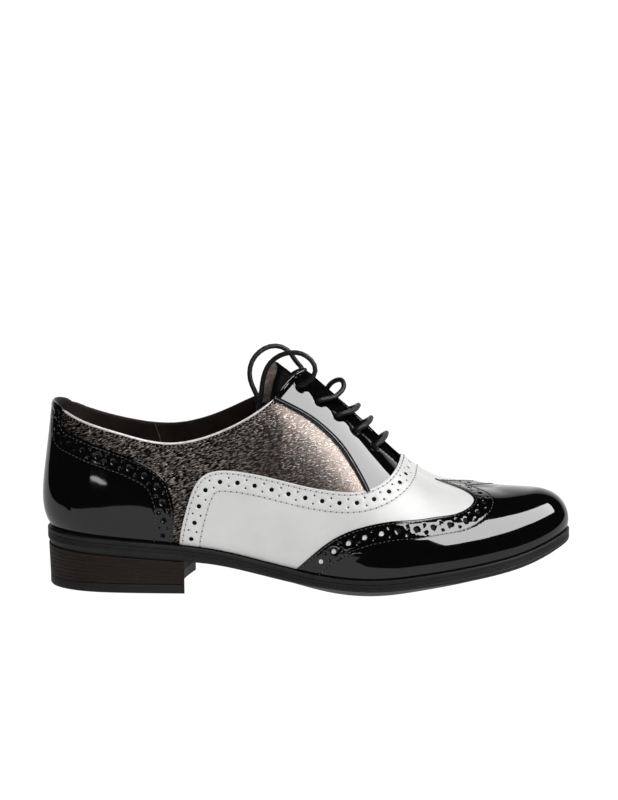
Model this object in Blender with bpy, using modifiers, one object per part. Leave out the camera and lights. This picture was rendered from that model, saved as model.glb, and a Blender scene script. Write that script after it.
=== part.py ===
"""Lace-up wing-tip brogue, right shoe, as an assembly of separate pieces.

Metres, +Z up, toe to +X, inner side of the foot to +Y, floor at Z = 0. The tables
are in millimetres; the last is one function of the feather line and the girth.
"""
import math

import bmesh
import bpy
import numpy as np

MM = 0.001
# Moves the tables' zero to the middle of the finished shoe
CENTRE = (1.48, 0.13, 0.0)

# Driving sizes, millimetres
HEEL_BACK = -136.6
TOE_TIP = 135.8
TOE_SWING = 4.0
WELT_EDGE = 2.2
SPINE_BACK = -97.0
SPINE_FRONT = 108.0
LEATHER = 0.8
CAP_LEATHER = 1.2
FACING_LEATHER = 0.6
WALL_DEPTH = 1.35
GAP = 0.3
WALL = 1.8
TONGUE_WALL = 2.0
WELT_THICK = 2.0
WELT_WIDTH = 7.0
INSOLE_THICK = 3.0
TOP_LIFT = 4.9
BREAST_X = -62.0
BREAST_HOLLOW = 4.0
LACE = 2.6
THROAT_END = 52.0
THROAT_HALF = 3.2
EYELET_X = -0.5
EYELET_PITCH = 8.9
EYELET_GIRTH = 16.5
TONGUE_TIP_SHIFT = (3.0, -12.5)

# Mesh fineness
STATIONS = 32
GIRTH_ROWS = 10

# Sole edge in plan: x, then how far it lies to the outer and to the inner side
PLAN = (
    (-133.0, 13.5, 13.5),
    (-119.5, 25.0, 25.0),
    (-95.0, 29.8, 29.4),
    (-60.0, 30.0, 28.0),
    (-25.0, 32.4, 25.4),
    (10.0, 40.4, 31.0),
    (40.0, 45.6, 40.6),
    (62.0, 45.0, 45.4),
    (86.0, 39.6, 43.4),
    (106.0, 31.6, 37.2),
    (121.5, 21.4, 28.0),
    (131.4, 10.4, 17.6),
)

# Feather line, where the upper meets the welt: x, height, sole thickness under it, crown
FEATHER = (
    (-137.0, 30.4, 8.4, 0.0),
    (-100.0, 28.1, 8.4, 0.0),
    (-66.0, 25.4, 8.0, 0.0),
    (-46.0, 23.0, 7.4, 0.8),
    (-25.0, 18.8, 7.1, 2.0),
    (-5.0, 14.9, 6.9, 3.4),
    (13.0, 12.4, 6.5, 5.2),
    (28.0, 11.6, 6.2, 5.9),
    (42.0, 12.1, 6.2, 5.6),
    (60.0, 14.2, 6.4, 4.6),
    (80.0, 16.9, 6.9, 3.4),
    (100.0, 20.1, 7.0, 2.4),
    (115.0, 23.4, 6.9, 1.6),
    (126.0, 27.0, 6.6, 0.8),
    (137.0, 31.0, 6.0, 0.0),
)

# Last by station on the ridge: x, ridge height, roundness over the top and up the side,
# swell of the wall, height of the swell over the feather line, bias of the rows to the sole
LAST = (
    (-97.0, 206.0, 2.6, 2.0, 4.6, 17.0, 1.9),
    (-60.0, 171.0, 2.0, 1.7, 3.8, 18.0, 1.7),
    (-20.0, 134.4, 1.7, 1.8, 2.6, 17.0, 1.35),
    (6.0, 110.4, 1.6, 1.9, 2.0, 15.0, 1.15),
    (24.0, 93.2, 1.6, 2.0, 1.8, 14.0, 1.1),
    (40.0, 76.6, 1.7, 2.1, 1.6, 12.0, 1.05),
    (50.0, 66.0, 1.85, 2.2, 1.6, 10.0, 1.0),
    (58.0, 59.2, 2.0, 2.3, 1.5, 9.0, 1.0),
    (67.0, 54.9, 2.2, 2.4, 1.4, 8.0, 1.0),
    (78.0, 52.4, 2.4, 2.5, 1.3, 7.0, 1.0),
    (92.0, 50.3, 2.7, 2.8, 1.2, 6.0, 1.0),
    (108.0, 50.8, 3.0, 3.0, 1.2, 6.0, 1.0),
)

# Top line in side view: x, height on the outer side, height on the inner side
TOP_LINE = (
    (-148.0, 98.5, 98.0),
    (-133.0, 96.4, 95.6),
    (-122.0, 91.8, 90.4),
    (-95.0, 83.2, 81.8),
    (-70.0, 78.2, 80.2),
    (-45.0, 83.4, 87.8),
    (-24.0, 94.2, 98.6),
    (-16.6, 99.9, 102.6),
    (-9.2, 108.6, 109.4),
    (-4.0, 112.6, 112.6),
    (2.0, 114.4, 114.4),
    (12.0, 116.0, 116.0),
)

# Seams in side view, x and height, the same on both sides of the shoe
COUNTER_SEAM = (
    (-126.2, 104.0), (-126.6, 93.0), (-125.8, 85.4), (-118.7, 81.3), (-110.4, 78.2), (-95.2, 73.2),
    (-82.4, 67.8), (-72.6, 60.5), (-68.1, 50.1), (-67.1, 44.6), (-67.4, 34.0), (-67.8, 12.0),
)
VAMP_SEAM = (
    (-64.6, 10.0), (-64.0, 25.8), (-61.7, 40.3), (-57.8, 53.2), (-52.9, 61.1), (-46.1, 64.3),
    (-37.2, 64.6), (-19.9, 62.0), (-1.1, 58.1), (11.4, 56.2), (23.9, 55.5), (33.0, 56.7),
    (42.1, 60.8), (47.7, 66.1), (50.2, 72.0), (51.5, 80.0),
)
WING_SEAM = (
    (-9.0, 4.0), (-2.6, 15.0), (5.6, 24.2), (13.8, 30.9), (24.3, 36.5), (36.6, 40.1), (48.8, 41.8),
    (58.6, 42.1), (68.3, 42.9), (79.8, 44.3), (86.4, 47.4),
)
# Peak of the wing in plan: x, how far from the ridge
WING_PEAK = (
    (66.0, 0.0), (70.0, 2.4), (77.0, 8.0), (83.4, 14.6), (86.4, 20.0), (86.8, 24.0),
)
FACING_SEAM = (
    (-22.0, 103.0), (-16.0, 100.1), (-6.0, 95.2), (3.3, 89.9), (10.7, 84.2), (18.2, 77.0),
    (23.9, 69.3), (28.7, 61.8), (31.4, 57.0), (34.0, 51.0),
)
# Lace ends from the top eyelets over the tongue into the shoe: x, y, z
OUTER_END = (
    (3.4, -12.9, 110.6), (5.0, -12.2, 115.6), (2.6, -12.0, 120.1), (-2.3, -11.2, 123.1),
    (-8.8, -10.2, 123.3), (-14.4, -9.2, 121.2), (-19.4, -8.2, 116.5), (-22.2, -7.2, 109.8),
    (-23.3, -6.2, 103.1), (-24.4, -5.2, 95.0), (-27.0, -4.6, 84.0), (-31.0, -4.4, 75.0),
)
INNER_END = (
    (-2.6, 14.8, 110.8), (-6.2, 13.2, 115.2), (-9.4, 12.2, 119.6), (-13.2, 11.2, 122.6),
    (-18.6, 10.2, 123.6), (-24.9, 8.2, 121.2), (-29.2, 6.2, 116.0), (-30.4, 5.2, 111.0),
    (-29.6, 4.2, 105.2), (-26.6, 2.8, 98.6), (-25.6, 1.8, 91.0), (-28.4, 1.2, 80.0), (-32.6, 1.0, 72.0),
)


class Curve:
    """Natural cubic spline through one column of a table."""

    def __init__(self, xs, ys):
        self.x = np.array(xs, float)
        self.y = np.array(ys, float)
        step = np.diff(self.x)
        slope = np.diff(self.y) / step
        count = len(self.x)
        system = np.eye(count)
        right = np.zeros(count)
        for row in range(1, count - 1):
            system[row, row - 1:row + 2] = step[row - 1], 2 * (step[row - 1] + step[row]), step[row]
            right[row] = 6 * (slope[row] - slope[row - 1])
        self.bend = np.linalg.solve(system, right)

    def __call__(self, x):
        x = np.clip(np.asarray(x, float), self.x[0], self.x[-1])
        row = np.clip(np.searchsorted(self.x, x) - 1, 0, len(self.x) - 2)
        step = self.x[row + 1] - self.x[row]
        left = (self.x[row + 1] - x) / step
        right = 1 - left
        bent = (left ** 3 - left) * self.bend[row] + (right ** 3 - right) * self.bend[row + 1]
        return left * self.y[row] + right * self.y[row + 1] + bent * step * step / 6


def column_curves(table):
    """One curve over x for each further column of a table."""
    columns = list(zip(*table))
    return [Curve(columns[0], column) for column in columns[1:]]


def spline_path(points, count):
    """Even samples of a smooth open path through hand-placed points."""
    points = np.array(points, float)
    run = np.concatenate([[0], np.cumsum(np.linalg.norm(np.diff(points, axis=0), axis=1))])
    at = np.linspace(0, run[-1], count)
    return np.stack([Curve(run, points[:, axis])(at) for axis in range(points.shape[1])], axis=1)


feather_z, sole_thick, sole_crown = column_curves(FEATHER)
ridge_z, round_top, round_side, swell_out, swell_high, row_bias = column_curves(LAST)


def plan_loop(samples=720):
    """Sole edge as a dense closed loop, from the heel back by the outer side to the toe and home."""
    outer = [(x, -out) for x, out, _ in PLAN]
    inner = [(x, inn) for x, _, inn in reversed(PLAN)]
    loop = [(HEEL_BACK, 0.0)] + outer + [(TOE_TIP, TOE_SWING)] + inner
    wrap = 4
    points = np.array(loop[-wrap:] + loop + loop[:wrap + 1], float)
    run = np.concatenate([[0], np.cumsum(np.linalg.norm(np.diff(points, axis=0), axis=1))])
    at = np.linspace(run[wrap], run[wrap + len(loop)], samples, endpoint=False)
    return np.stack([Curve(run, points[:, axis])(at) for axis in (0, 1)], axis=1)


EDGE = plan_loop()


def edge_sides(inset):
    """Outer and inner half of the sole edge drawn in by a distance, each from heel to toe."""
    along = np.roll(EDGE, -1, axis=0) - np.roll(EDGE, 1, axis=0)
    along /= np.linalg.norm(along, axis=1)[:, None]
    loop = EDGE + inset * np.stack([-along[:, 1], along[:, 0]], axis=1)
    loop = np.roll(loop, -int(np.argmin(loop[:, 0])), axis=0)
    tip = int(np.argmax(loop[:, 0]))
    return loop[:tip + 1], np.vstack([loop[tip:], loop[:1]])[::-1]


def ring(inset, count=STATIONS):
    """Points of the inset edge at matching stations: heel back, outer side, toe, inner side."""
    outer, inner = edge_sides(inset)
    share = (1 - np.cos(np.linspace(0, math.pi, count + 1))) / 2
    back, tip = outer[0, 0], outer[-1, 0]
    xs = back + (tip - back) * share
    out = np.interp(xs, outer[:, 0], outer[:, 1])
    inn = np.interp(xs, inner[:, 0], inner[:, 1])
    return np.vstack([np.stack([xs, out], axis=1), np.stack([xs, inn], axis=1)[-2:0:-1]])


FEET = ring(WELT_EDGE)
FOOT_BACK = FEET[0, 0]
FOOT_TIP = FEET[STATIONS, 0]
SIDES = edge_sides(WELT_EDGE)


def ridge_place(foot_x):
    """Plan place on the ridge that a meridian from the feather line climbs to."""
    x = SPINE_BACK + (foot_x - FOOT_BACK) * (SPINE_FRONT - SPINE_BACK) / (FOOT_TIP - FOOT_BACK)
    y = TOE_SWING * ((x - HEEL_BACK) / (TOE_TIP - HEEL_BACK)) ** 2
    return x, y


def last_points(foot_x, foot_y, turn):
    """Outside of the finished upper: turn 0 at the feather line, 1 on the ridge."""
    top_x, top_y = ridge_place(foot_x)
    low = feather_z(foot_x) + GAP
    angle = math.pi / 2 * turn ** row_bias(top_x)
    reach = np.cos(angle) ** (2 / round_top(top_x))
    climb = np.sin(angle) ** (2 / round_side(top_x)) * (ridge_z(top_x) - low)
    rise = climb / swell_high(top_x)
    swell = swell_out(top_x) * rise * np.exp(1 - rise)
    span = np.hypot(foot_x - top_x, foot_y - top_y)
    reach = reach + swell / span
    return np.stack([top_x + (foot_x - top_x) * reach, top_y + (foot_y - top_y) * reach, low + climb], axis=-1)


def place_on_instep(x, side, girth, lift):
    """Point a girth away from the ridge at a station, lifted clear of the leather."""
    foot_x = FOOT_BACK + (x - SPINE_BACK) * (FOOT_TIP - FOOT_BACK) / (SPINE_FRONT - SPINE_BACK)
    half = SIDES[0] if side < 0 else SIDES[1]
    foot_y = np.interp(foot_x, half[:, 0], half[:, 1])
    turns = np.linspace(1, 0.3, 141)
    line = last_points(np.full(141, foot_x), np.full(141, foot_y), turns)
    run = np.concatenate([[0], np.cumsum(np.linalg.norm(np.diff(line, axis=0), axis=1))])
    spot = np.array([np.interp(girth, run, line[:, axis]) for axis in range(3)])
    ahead = np.array([np.interp(girth + 1, run, line[:, axis]) for axis in range(3)])
    along = np.array([1.0, 0.0, ridge_z(x + 1) - ridge_z(x)])
    out = np.cross(ahead - spot, along) * side
    out /= np.linalg.norm(out)
    if out[2] < 0:
        out = -out
    return spot + out * lift


# Scene set-up
for old in list(bpy.data.objects):
    bpy.data.objects.remove(old, do_unlink=True)
SHOE = bpy.data.collections.new("brogue_shoe")
CUTTERS = bpy.data.collections.new("cutters")
bpy.context.scene.collection.children.link(SHOE)
bpy.context.scene.collection.children.link(CUTTERS)


def colour(name, rgb, roughness):
    """Plain material for a piece."""
    material = bpy.data.materials.new(name)
    material.use_nodes = True
    shader = material.node_tree.nodes["Principled BSDF"]
    shader.inputs["Base Color"].default_value = (*rgb, 1)
    shader.inputs["Roughness"].default_value = roughness
    return material


PATENT = colour("patent_leather", (0.012, 0.012, 0.013), 0.12)
WHITE = colour("white_leather", (0.80, 0.80, 0.78), 0.4)
PEWTER = colour("pewter_leather", (0.22, 0.18, 0.16), 0.35)
LINING = colour("lining_leather", (0.05, 0.03, 0.025), 0.6)
RUBBER = colour("sole_rubber", (0.025, 0.025, 0.026), 0.6)
STACK = colour("stacked_heel", (0.03, 0.02, 0.017), 0.45)
CORD = colour("waxed_cord", (0.01, 0.01, 0.01), 0.5)


def finish_object(name, bm, material, collection=SHOE):
    """Mesh object from a bmesh in millimetres."""
    bmesh.ops.translate(bm, vec=CENTRE, verts=bm.verts)
    bmesh.ops.scale(bm, vec=(MM, MM, MM), verts=bm.verts)
    mesh = bpy.data.meshes.new(name)
    bm.to_mesh(mesh)
    bm.free()
    if material:
        mesh.materials.append(material)
    piece = bpy.data.objects.new(name, mesh)
    collection.objects.link(piece)
    return piece


def ring_faces(bm, low, high):
    """Quads between two rings of the same count."""
    count = len(low)
    for at in range(count):
        after = (at + 1) % count
        bm.faces.new((low[at], low[after], high[after], high[at]))


def ladder_cap(bm, loop, upward):
    """Close a ring with rungs from its outer to its inner side."""
    half = len(loop) // 2
    outer = loop[:half + 1]
    inner = [loop[0]] + loop[:half - 1:-1]
    for at in range(half):
        corners = [outer[at], outer[at + 1], inner[at + 1], inner[at]]
        corners = list(dict.fromkeys(corners))
        bm.faces.new(corners if upward else corners[::-1])


def loft(name, rings, material, ends="ladder"):
    """Solid through rings from the bottom up, with ladder or flat ends, or joined into a hoop."""
    bm = bmesh.new()
    loops = [[bm.verts.new(point) for point in points] for points in rings]
    for low, high in zip(loops, loops[1:]):
        ring_faces(bm, low, high)
    if ends == "hoop":
        ring_faces(bm, loops[-1], loops[0])
    elif ends == "flat":
        caps = [bm.faces.new(loops[0][::-1]), bm.faces.new(loops[-1])]
        bmesh.ops.triangulate(bm, faces=caps)
    else:
        ladder_cap(bm, loops[0], False)
        ladder_cap(bm, loops[-1], True)
    return finish_object(name, bm, material)


def level(points, heights):
    """Plan points with a height each."""
    return np.column_stack([points, heights])


def last_mesh(inward, stations=None, first_row=0, side=0):
    """Open surface parallel to the last, or the part of it over some stations, upper rows or one side."""
    bm = bmesh.new()
    rows = np.linspace(0, 1, GIRTH_ROWS + 1)
    columns = []
    for foot in FEET:
        points = last_points(np.full(GIRTH_ROWS, foot[0]), np.full(GIRTH_ROWS, foot[1]), rows[:-1])
        columns.append([bm.verts.new(point) for point in points])
    ridge = []
    for foot in FEET[:STATIONS + 1]:
        ridge.append(bm.verts.new(last_points(foot[0], foot[1], 1.0)))
    count = len(columns)
    for at in range(count):
        after = (at + 1) % count
        top, next_top = (ridge[spot if spot <= STATIONS else count - spot] for spot in (at, after))
        here = columns[at] + [top]
        there = columns[after] + [next_top]
        for row in range(GIRTH_ROWS):
            bm.faces.new((here[row], there[row], there[row + 1], here[row + 1]))
    bm.normal_update()
    for vert in bm.verts:
        vert.co -= vert.normal * inward * vert.calc_shell_factor()
    if stations:
        wanted = set()
        for spot in range(count):
            place = spot if spot <= STATIONS else count - spot
            if not stations[0] <= place <= stations[1] or side * FEET[spot][1] < 0:
                continue
            wanted.update(columns[spot][first_row:])
            if side == 0:
                wanted.add(ridge[place])
        spare = [vert for vert in bm.verts if vert not in wanted]
        bmesh.ops.delete(bm, geom=spare, context="VERTS")
    return bm


def solidify(piece, thick):
    """Give an open surface its thickness, inward."""
    shell = piece.modifiers.new("thickness", "SOLIDIFY")
    shell.thickness = thick * MM
    shell.offset = -1
    shell.use_even_offset = True


def cut(piece, cutter, operation):
    """Exact boolean with a cutter."""
    step = piece.modifiers.new(cutter.name, "BOOLEAN")
    step.operation = operation
    step.solver = "EXACT"
    step.object = cutter


def as_cutter(piece):
    """Keep a cutter out of the renders."""
    piece.hide_render = True
    piece.display_type = "WIRE"
    return piece


def side_cutter(name, slices):
    """Cutter from side-view outlines, each at its own place across the shoe."""
    bm = bmesh.new()
    loops = []
    for y, outline in slices:
        loops.append([bm.verts.new((x, y, z)) for x, z in outline])
    bm.faces.new(loops[0])
    bm.faces.new(loops[-1][::-1])
    for low, high in zip(loops, loops[1:]):
        ring_faces(bm, low, high)
    bmesh.ops.recalc_face_normals(bm, faces=bm.faces)
    bmesh.ops.triangulate(bm, faces=bm.faces)
    return as_cutter(finish_object(name, bm, None, CUTTERS))


# Outsole: rubber, with a ledge for the welt, a grooved side and a crowned tread with a flat spot
def sole_ring(inset, drop, crown=0.0):
    """Ring of the sole a drop under the feather line, or on its tread where drop is None."""
    points = ring(inset)
    height = feather_z(points[:, 0])
    if drop is None:
        height = height - sole_thick(points[:, 0]) - crown * sole_crown(points[:, 0])
        height = np.maximum(height, 0.0)
    else:
        height = height - drop
    return level(points, height)


outsole = loft("outsole", [
    sole_ring(20.0, None, 1.0),
    sole_ring(10.0, None, 0.7),
    sole_ring(3.6, None, 0.16),
    sole_ring(1.2, None, 0.0),
    sole_ring(0.2, 6.2),
    sole_ring(0.0, 5.4),
    sole_ring(0.6, 5.1),
    sole_ring(0.6, 4.7),
    sole_ring(0.0, 4.4),
    sole_ring(0.0, 2.9),
    sole_ring(0.5, WELT_THICK + GAP),
    sole_ring(WELT_WIDTH + GAP, WELT_THICK + GAP),
    sole_ring(WELT_WIDTH + GAP, 0.0),
], RUBBER)

# Welt: a rubber strip round the top of the sole, under the feather edge of the upper
welt = loft("welt", [
    sole_ring(WELT_WIDTH, WELT_THICK),
    sole_ring(0.5, WELT_THICK),
    sole_ring(0.0, WELT_THICK - 0.5),
    sole_ring(0.0, 0.6),
    sole_ring(0.6, 0.0),
    sole_ring(WELT_WIDTH, 0.0),
], RUBBER, "hoop")

# Insole: the board and sock the foot stands on, inside the upper
SOCK_INSET = WELT_EDGE + WALL_DEPTH + WALL + 0.7
insole = loft("insole", [
    sole_ring(SOCK_INSET, -GAP),
    sole_ring(SOCK_INSET, -GAP - INSOLE_THICK),
], LINING)


# Heel: a stack under the sole and a rubber top lift, with a hollowed breast
def heel_ring(inset, heights):
    """Ring of the heel: round the back between the breast corners, then along the breast."""
    outer, inner = edge_sides(inset)
    steps = 9
    share = (1 - np.cos(np.linspace(0, math.pi / 2, steps + 1)))
    xs = outer[0, 0] + (BREAST_X - outer[0, 0]) * share
    out = np.stack([xs, np.interp(xs, outer[:, 0], outer[:, 1])], axis=1)
    inn = np.stack([xs, np.interp(xs, inner[:, 0], inner[:, 1])], axis=1)
    across = np.linspace(out[-1, 1], inn[-1, 1], steps * 2 + 1)[1:-1]
    width = inn[-1, 1] - out[-1, 1]
    hollow = BREAST_HOLLOW * np.sin(math.pi * (across - out[-1, 1]) / width)
    breast = np.stack([BREAST_X - hollow, across], axis=1)
    points = np.vstack([out, breast, inn[:0:-1]])
    if heights is None:
        return level(points, feather_z(points[:, 0]) - sole_thick(points[:, 0]) - GAP)
    return level(points, np.full(len(points), heights))


heel_stack = loft("heel_stack", [
    heel_ring(1.1, TOP_LIFT + GAP),
    heel_ring(0.5, None),
], STACK, "flat")
top_lift = loft("top_lift", [
    heel_ring(1.8, 0.0),
    heel_ring(1.1, 0.8),
    heel_ring(1.1, TOP_LIFT),
], RUBBER, "flat")

# Upper: quarters, vamp and lining as one hollow wall, open at collar, throat and underneath
upper = finish_object("upper", last_mesh(WALL_DEPTH), PEWTER)
solidify(upper, WALL)
SKY = 300.0
top_rows = spline_path(TOP_LINE, 30)
outer_line = [(x, z) for x, z, _ in top_rows] + [(60.0, 190.0), (60.0, SKY), (-190.0, SKY), (-190.0, 110.0)]
inner_line = [(x, z) for x, _, z in top_rows] + [(60.0, 190.0), (60.0, SKY), (-190.0, SKY), (-190.0, 110.0)]
top_cutter = side_cutter("top_line_cutter", [(-90, outer_line), (-18, outer_line), (18, inner_line), (90, inner_line)])
cut(upper, top_cutter, "DIFFERENCE")

slot = bmesh.new()
front = [(THROAT_END - THROAT_HALF + THROAT_HALF * math.cos(turn), THROAT_HALF * math.sin(turn))
         for turn in np.linspace(-math.pi / 2, math.pi / 2, 7)]
loop = [(-60.0, -THROAT_HALF - 2.0)] + front + [(-60.0, THROAT_HALF + 2.0)]
base = slot.faces.new([slot.verts.new((x, y + ridge_place(20.0)[1], 50.0)) for x, y in loop])
lifted = bmesh.ops.extrude_face_region(slot, geom=[base])["geom"]
bmesh.ops.translate(slot, vec=(0, 0, 200.0), verts=[item for item in lifted if isinstance(item, bmesh.types.BMVert)])
bmesh.ops.recalc_face_normals(slot, faces=slot.faces)
throat_cutter = as_cutter(finish_object("throat_cutter", slot, None, CUTTERS))
cut(upper, throat_cutter, "DIFFERENCE")


# Overlays: patent wing cap, white vamp, patent counter and facings, cut from skins of the same last
def clipped(name, skin, thick, material, cutter):
    """Skin of the last, given its thickness and kept only inside a cutter."""
    piece = finish_object(name, skin, material)
    solidify(piece, thick)
    cut(piece, cutter, "INTERSECT")
    return piece


def stations_between(low, high):
    """First and last station whose meridian ends on this run of the ridge."""
    places = [ridge_place(foot[0])[0] for foot in FEET[:STATIONS + 1]]
    return (min(at for at, x in enumerate(places) if x > low), max(at for at, x in enumerate(places) if x < high))


WIDE = 90.0


def wing_cutter(name, grow):
    """Side-view wing and plan-view peak, joined; grown backward for the piece that meets it."""
    seam = [(x - grow, z + grow) for x, z in spline_path(WING_SEAM, 20)]
    low = seam + [(99.0, 49.0), (99.0, -20.0), (-9.0 - grow, -20.0)]
    wing = side_cutter(name, [(-WIDE, low), (WIDE, low)])
    flank = spline_path(WING_PEAK, 9)
    axis = ridge_place(80.0)[1]
    outer = [(x - grow, axis - off) for x, off in flank]
    inner = [(x - grow, axis + off) for x, off in flank[:0:-1]]
    last_x = flank[-1][0] - grow
    loop = outer + [(last_x, -WIDE), (170.0, -WIDE), (170.0, WIDE), (last_x, WIDE)] + inner
    peak = bmesh.new()
    base = peak.faces.new([peak.verts.new((x, y, -30.0)) for x, y in loop])
    lifted = bmesh.ops.extrude_face_region(peak, geom=[base])["geom"]
    risen = [item for item in lifted if isinstance(item, bmesh.types.BMVert)]
    bmesh.ops.translate(peak, vec=(0, 0, 140.0), verts=risen)
    bmesh.ops.recalc_face_normals(peak, faces=peak.faces)
    bmesh.ops.triangulate(peak, faces=peak.faces)
    cut(wing, as_cutter(finish_object(name + "_peak", peak, None, CUTTERS)), "UNION")
    return wing


def vamp_cutter(name, grow):
    """Everything in front of and under the vamp seam, in side view."""
    seam = [(x - grow, z + grow) for x, z in spline_path(VAMP_SEAM, 30)]
    low = seam + [(170.0, 80.0 + grow), (170.0, -30.0), (-64.6 - grow, -30.0)]
    return side_cutter(name, [(-WIDE, low), (WIDE, low)])


toe_cap = clipped("toe_cap", last_mesh(LEATHER - CAP_LEATHER), CAP_LEATHER, PATENT, wing_cutter("wing_cutter", 0.0))
vamp = clipped("vamp", last_mesh(0.0), LEATHER, WHITE, vamp_cutter("vamp_cutter", 0.0))
cut(vamp, wing_cutter("vamp_front_cutter", GAP), "DIFFERENCE")

back_seam = [(x, z) for x, z in spline_path(COUNTER_SEAM, 24)]
back_loop = [(-190.0, 104.0)] + back_seam + [(-67.8, -20.0), (-190.0, -20.0)]
counter_cutter = side_cutter("counter_cutter", [(-WIDE, back_loop), (WIDE, back_loop)])
counter = clipped("heel_counter", last_mesh(0.0), LEATHER, PATENT, counter_cutter)
cut(counter, top_cutter, "DIFFERENCE")

facing_loop = [(x, z) for x, z in spline_path(FACING_SEAM, 16)] + [(70.0, 51.0), (70.0, 140.0), (-22.0, 140.0)]
facing_cutter = side_cutter("facing_cutter", [(-WIDE, facing_loop), (WIDE, facing_loop)])
facing_front = vamp_cutter("facing_front_cutter", GAP)
for name, side in (("facing_outer", -1), ("facing_inner", 1)):
    skin = last_mesh(0.0, stations_between(-40.0, 64.0), 3, side)
    facing = clipped(name, skin, FACING_LEATHER, PATENT, facing_cutter)
    cut(facing, top_cutter, "DIFFERENCE")
    cut(facing, facing_front, "DIFFERENCE")

# Tongue: a padded strip under the facings that rises out of the throat and leans back
strip = last_mesh(WALL_DEPTH + WALL + 3 * GAP, stations_between(-24.0, 60.0), 6)
for vert in strip.verts:
    lean = np.clip((6.0 - vert.co.x) / 26.0, 0.0, 1.2) ** 2
    vert.co.x += TONGUE_TIP_SHIFT[0] * lean
    vert.co.z += TONGUE_TIP_SHIFT[1] * lean
tongue = finish_object("tongue", strip, PATENT)
solidify(tongue, TONGUE_WALL)


# Laces: four bars over the facings, and the two free ends
def cord(name, points):
    """Waxed cord along a path."""
    curve = bpy.data.curves.new(name, "CURVE")
    curve.dimensions = "3D"
    curve.bevel_depth = LACE / 2 * MM
    curve.bevel_resolution = 2
    curve.use_fill_caps = True
    line = curve.splines.new("POLY")
    line.points.add(len(points) - 1)
    for spot, point in zip(line.points, points):
        spot.co = (*((value + move) * MM for value, move in zip(point, CENTRE)), 1)
    curve.materials.append(CORD)
    piece = bpy.data.objects.new(name, curve)
    SHOE.objects.link(piece)
    return piece


# Bars by eyelet: number, how far the middle bows to the toe, how far it stands up
BARS = (
    (1, 7.0, 6.0),
    (2, 5.0, 1.0),
    (3, 4.0, 0.6),
    (4, 3.4, 0.4),
)
for number, bow, stand in BARS:
    path = []
    for share in np.linspace(-1, 1, 9):
        loose = 1 - share * share
        spot = place_on_instep(EYELET_X + EYELET_PITCH * number + bow * loose, -1 if share < 0 else 1,
                               EYELET_GIRTH * abs(share), LACE / 2 + GAP + 0.5 + stand * loose)
        path.append(spot)
    cord(f"lace_bar_{number}", path)
for name, side, route, seat in (("lace_end_outer", -1, OUTER_END, 0.5), ("lace_end_inner", 1, INNER_END, -0.3)):
    start = place_on_instep(EYELET_X, side, EYELET_GIRTH, LACE / 2 + seat)
    cord(name, spline_path([tuple(start), *route], 19))
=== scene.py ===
import math

import bmesh
import bpy
import numpy as np
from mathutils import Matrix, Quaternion, Vector
from mathutils.geometry import delaunay_2d_cdt
from mathutils.kdtree import KDTree


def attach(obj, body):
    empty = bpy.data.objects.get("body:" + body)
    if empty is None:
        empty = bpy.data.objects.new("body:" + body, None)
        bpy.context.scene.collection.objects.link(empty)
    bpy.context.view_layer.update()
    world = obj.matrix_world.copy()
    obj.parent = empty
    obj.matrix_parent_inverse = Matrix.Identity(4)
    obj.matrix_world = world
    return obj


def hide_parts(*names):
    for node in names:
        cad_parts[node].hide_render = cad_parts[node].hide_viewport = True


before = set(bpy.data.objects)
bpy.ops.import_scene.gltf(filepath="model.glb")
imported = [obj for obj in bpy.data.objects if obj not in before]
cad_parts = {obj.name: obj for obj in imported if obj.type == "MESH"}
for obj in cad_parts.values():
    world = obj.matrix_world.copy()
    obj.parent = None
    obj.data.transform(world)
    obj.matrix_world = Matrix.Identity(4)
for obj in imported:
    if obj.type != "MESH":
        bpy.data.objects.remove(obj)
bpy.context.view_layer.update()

MM = 0.001

# Studio: a white floor and soft lights that only light the leather, with two panels, a lit table and
# a dark room in front that only show in its polish, so that patent shows band, black and floor.
VIEW_TURN, VIEW_RISE, VIEW_ROLL = 4.0, 10.0, -0.3
VIEW_FAR = 1.6
VIEW_AIM = Vector((0.0023, 0.0, 0.097))


def placed(name, data):
    """Object at the origin, linked to the scene."""
    piece = bpy.data.objects.new(name, data)
    bpy.context.scene.collection.objects.link(piece)
    return piece


def bearing(turn, rise):
    """Unit vector from the shoe: degrees round from its outer side, and degrees up."""
    turn, rise = math.radians(turn), math.radians(rise)
    return Vector((math.sin(turn) * math.cos(rise), -math.cos(turn) * math.cos(rise), math.sin(rise)))


camera = placed("photo_camera", bpy.data.cameras.new("photo_camera"))
toward = bearing(VIEW_TURN, VIEW_RISE)
level_roll = Quaternion((0.0, 0.0, 1.0), math.radians(VIEW_ROLL))
camera.location = VIEW_AIM + toward * VIEW_FAR
camera.rotation_euler = (toward.to_track_quat("Z", "Y") @ level_roll).to_euler()
camera.data.lens = 139.0
camera.data.sensor_width = 36.0
bpy.context.scene.camera = camera
bpy.context.scene.view_settings.view_transform = "Standard"


class Wire:
    """Value in a shader tree; arithmetic on it adds Math nodes."""

    def __init__(self, tree, socket):
        self.tree = tree
        self.socket = socket

    def maths(self, operation, *values):
        node = self.tree.nodes.new("ShaderNodeMath")
        node.operation = operation
        for place, value in enumerate(values):
            plug(self.tree, node.inputs[place], value)
        return Wire(self.tree, node.outputs[0])

    def __add__(self, other):
        return self.maths("ADD", self, other)

    def __radd__(self, other):
        return self.maths("ADD", other, self)

    def __sub__(self, other):
        return self.maths("SUBTRACT", self, other)

    def __rsub__(self, other):
        return self.maths("SUBTRACT", other, self)

    def __mul__(self, other):
        return self.maths("MULTIPLY", self, other)

    def __rmul__(self, other):
        return self.maths("MULTIPLY", other, self)


def plug(tree, socket, value):
    """Link a wire to a socket, or set the socket's own value."""
    if isinstance(value, Wire):
        tree.links.new(value.socket, socket)
    else:
        socket.default_value = value


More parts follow.
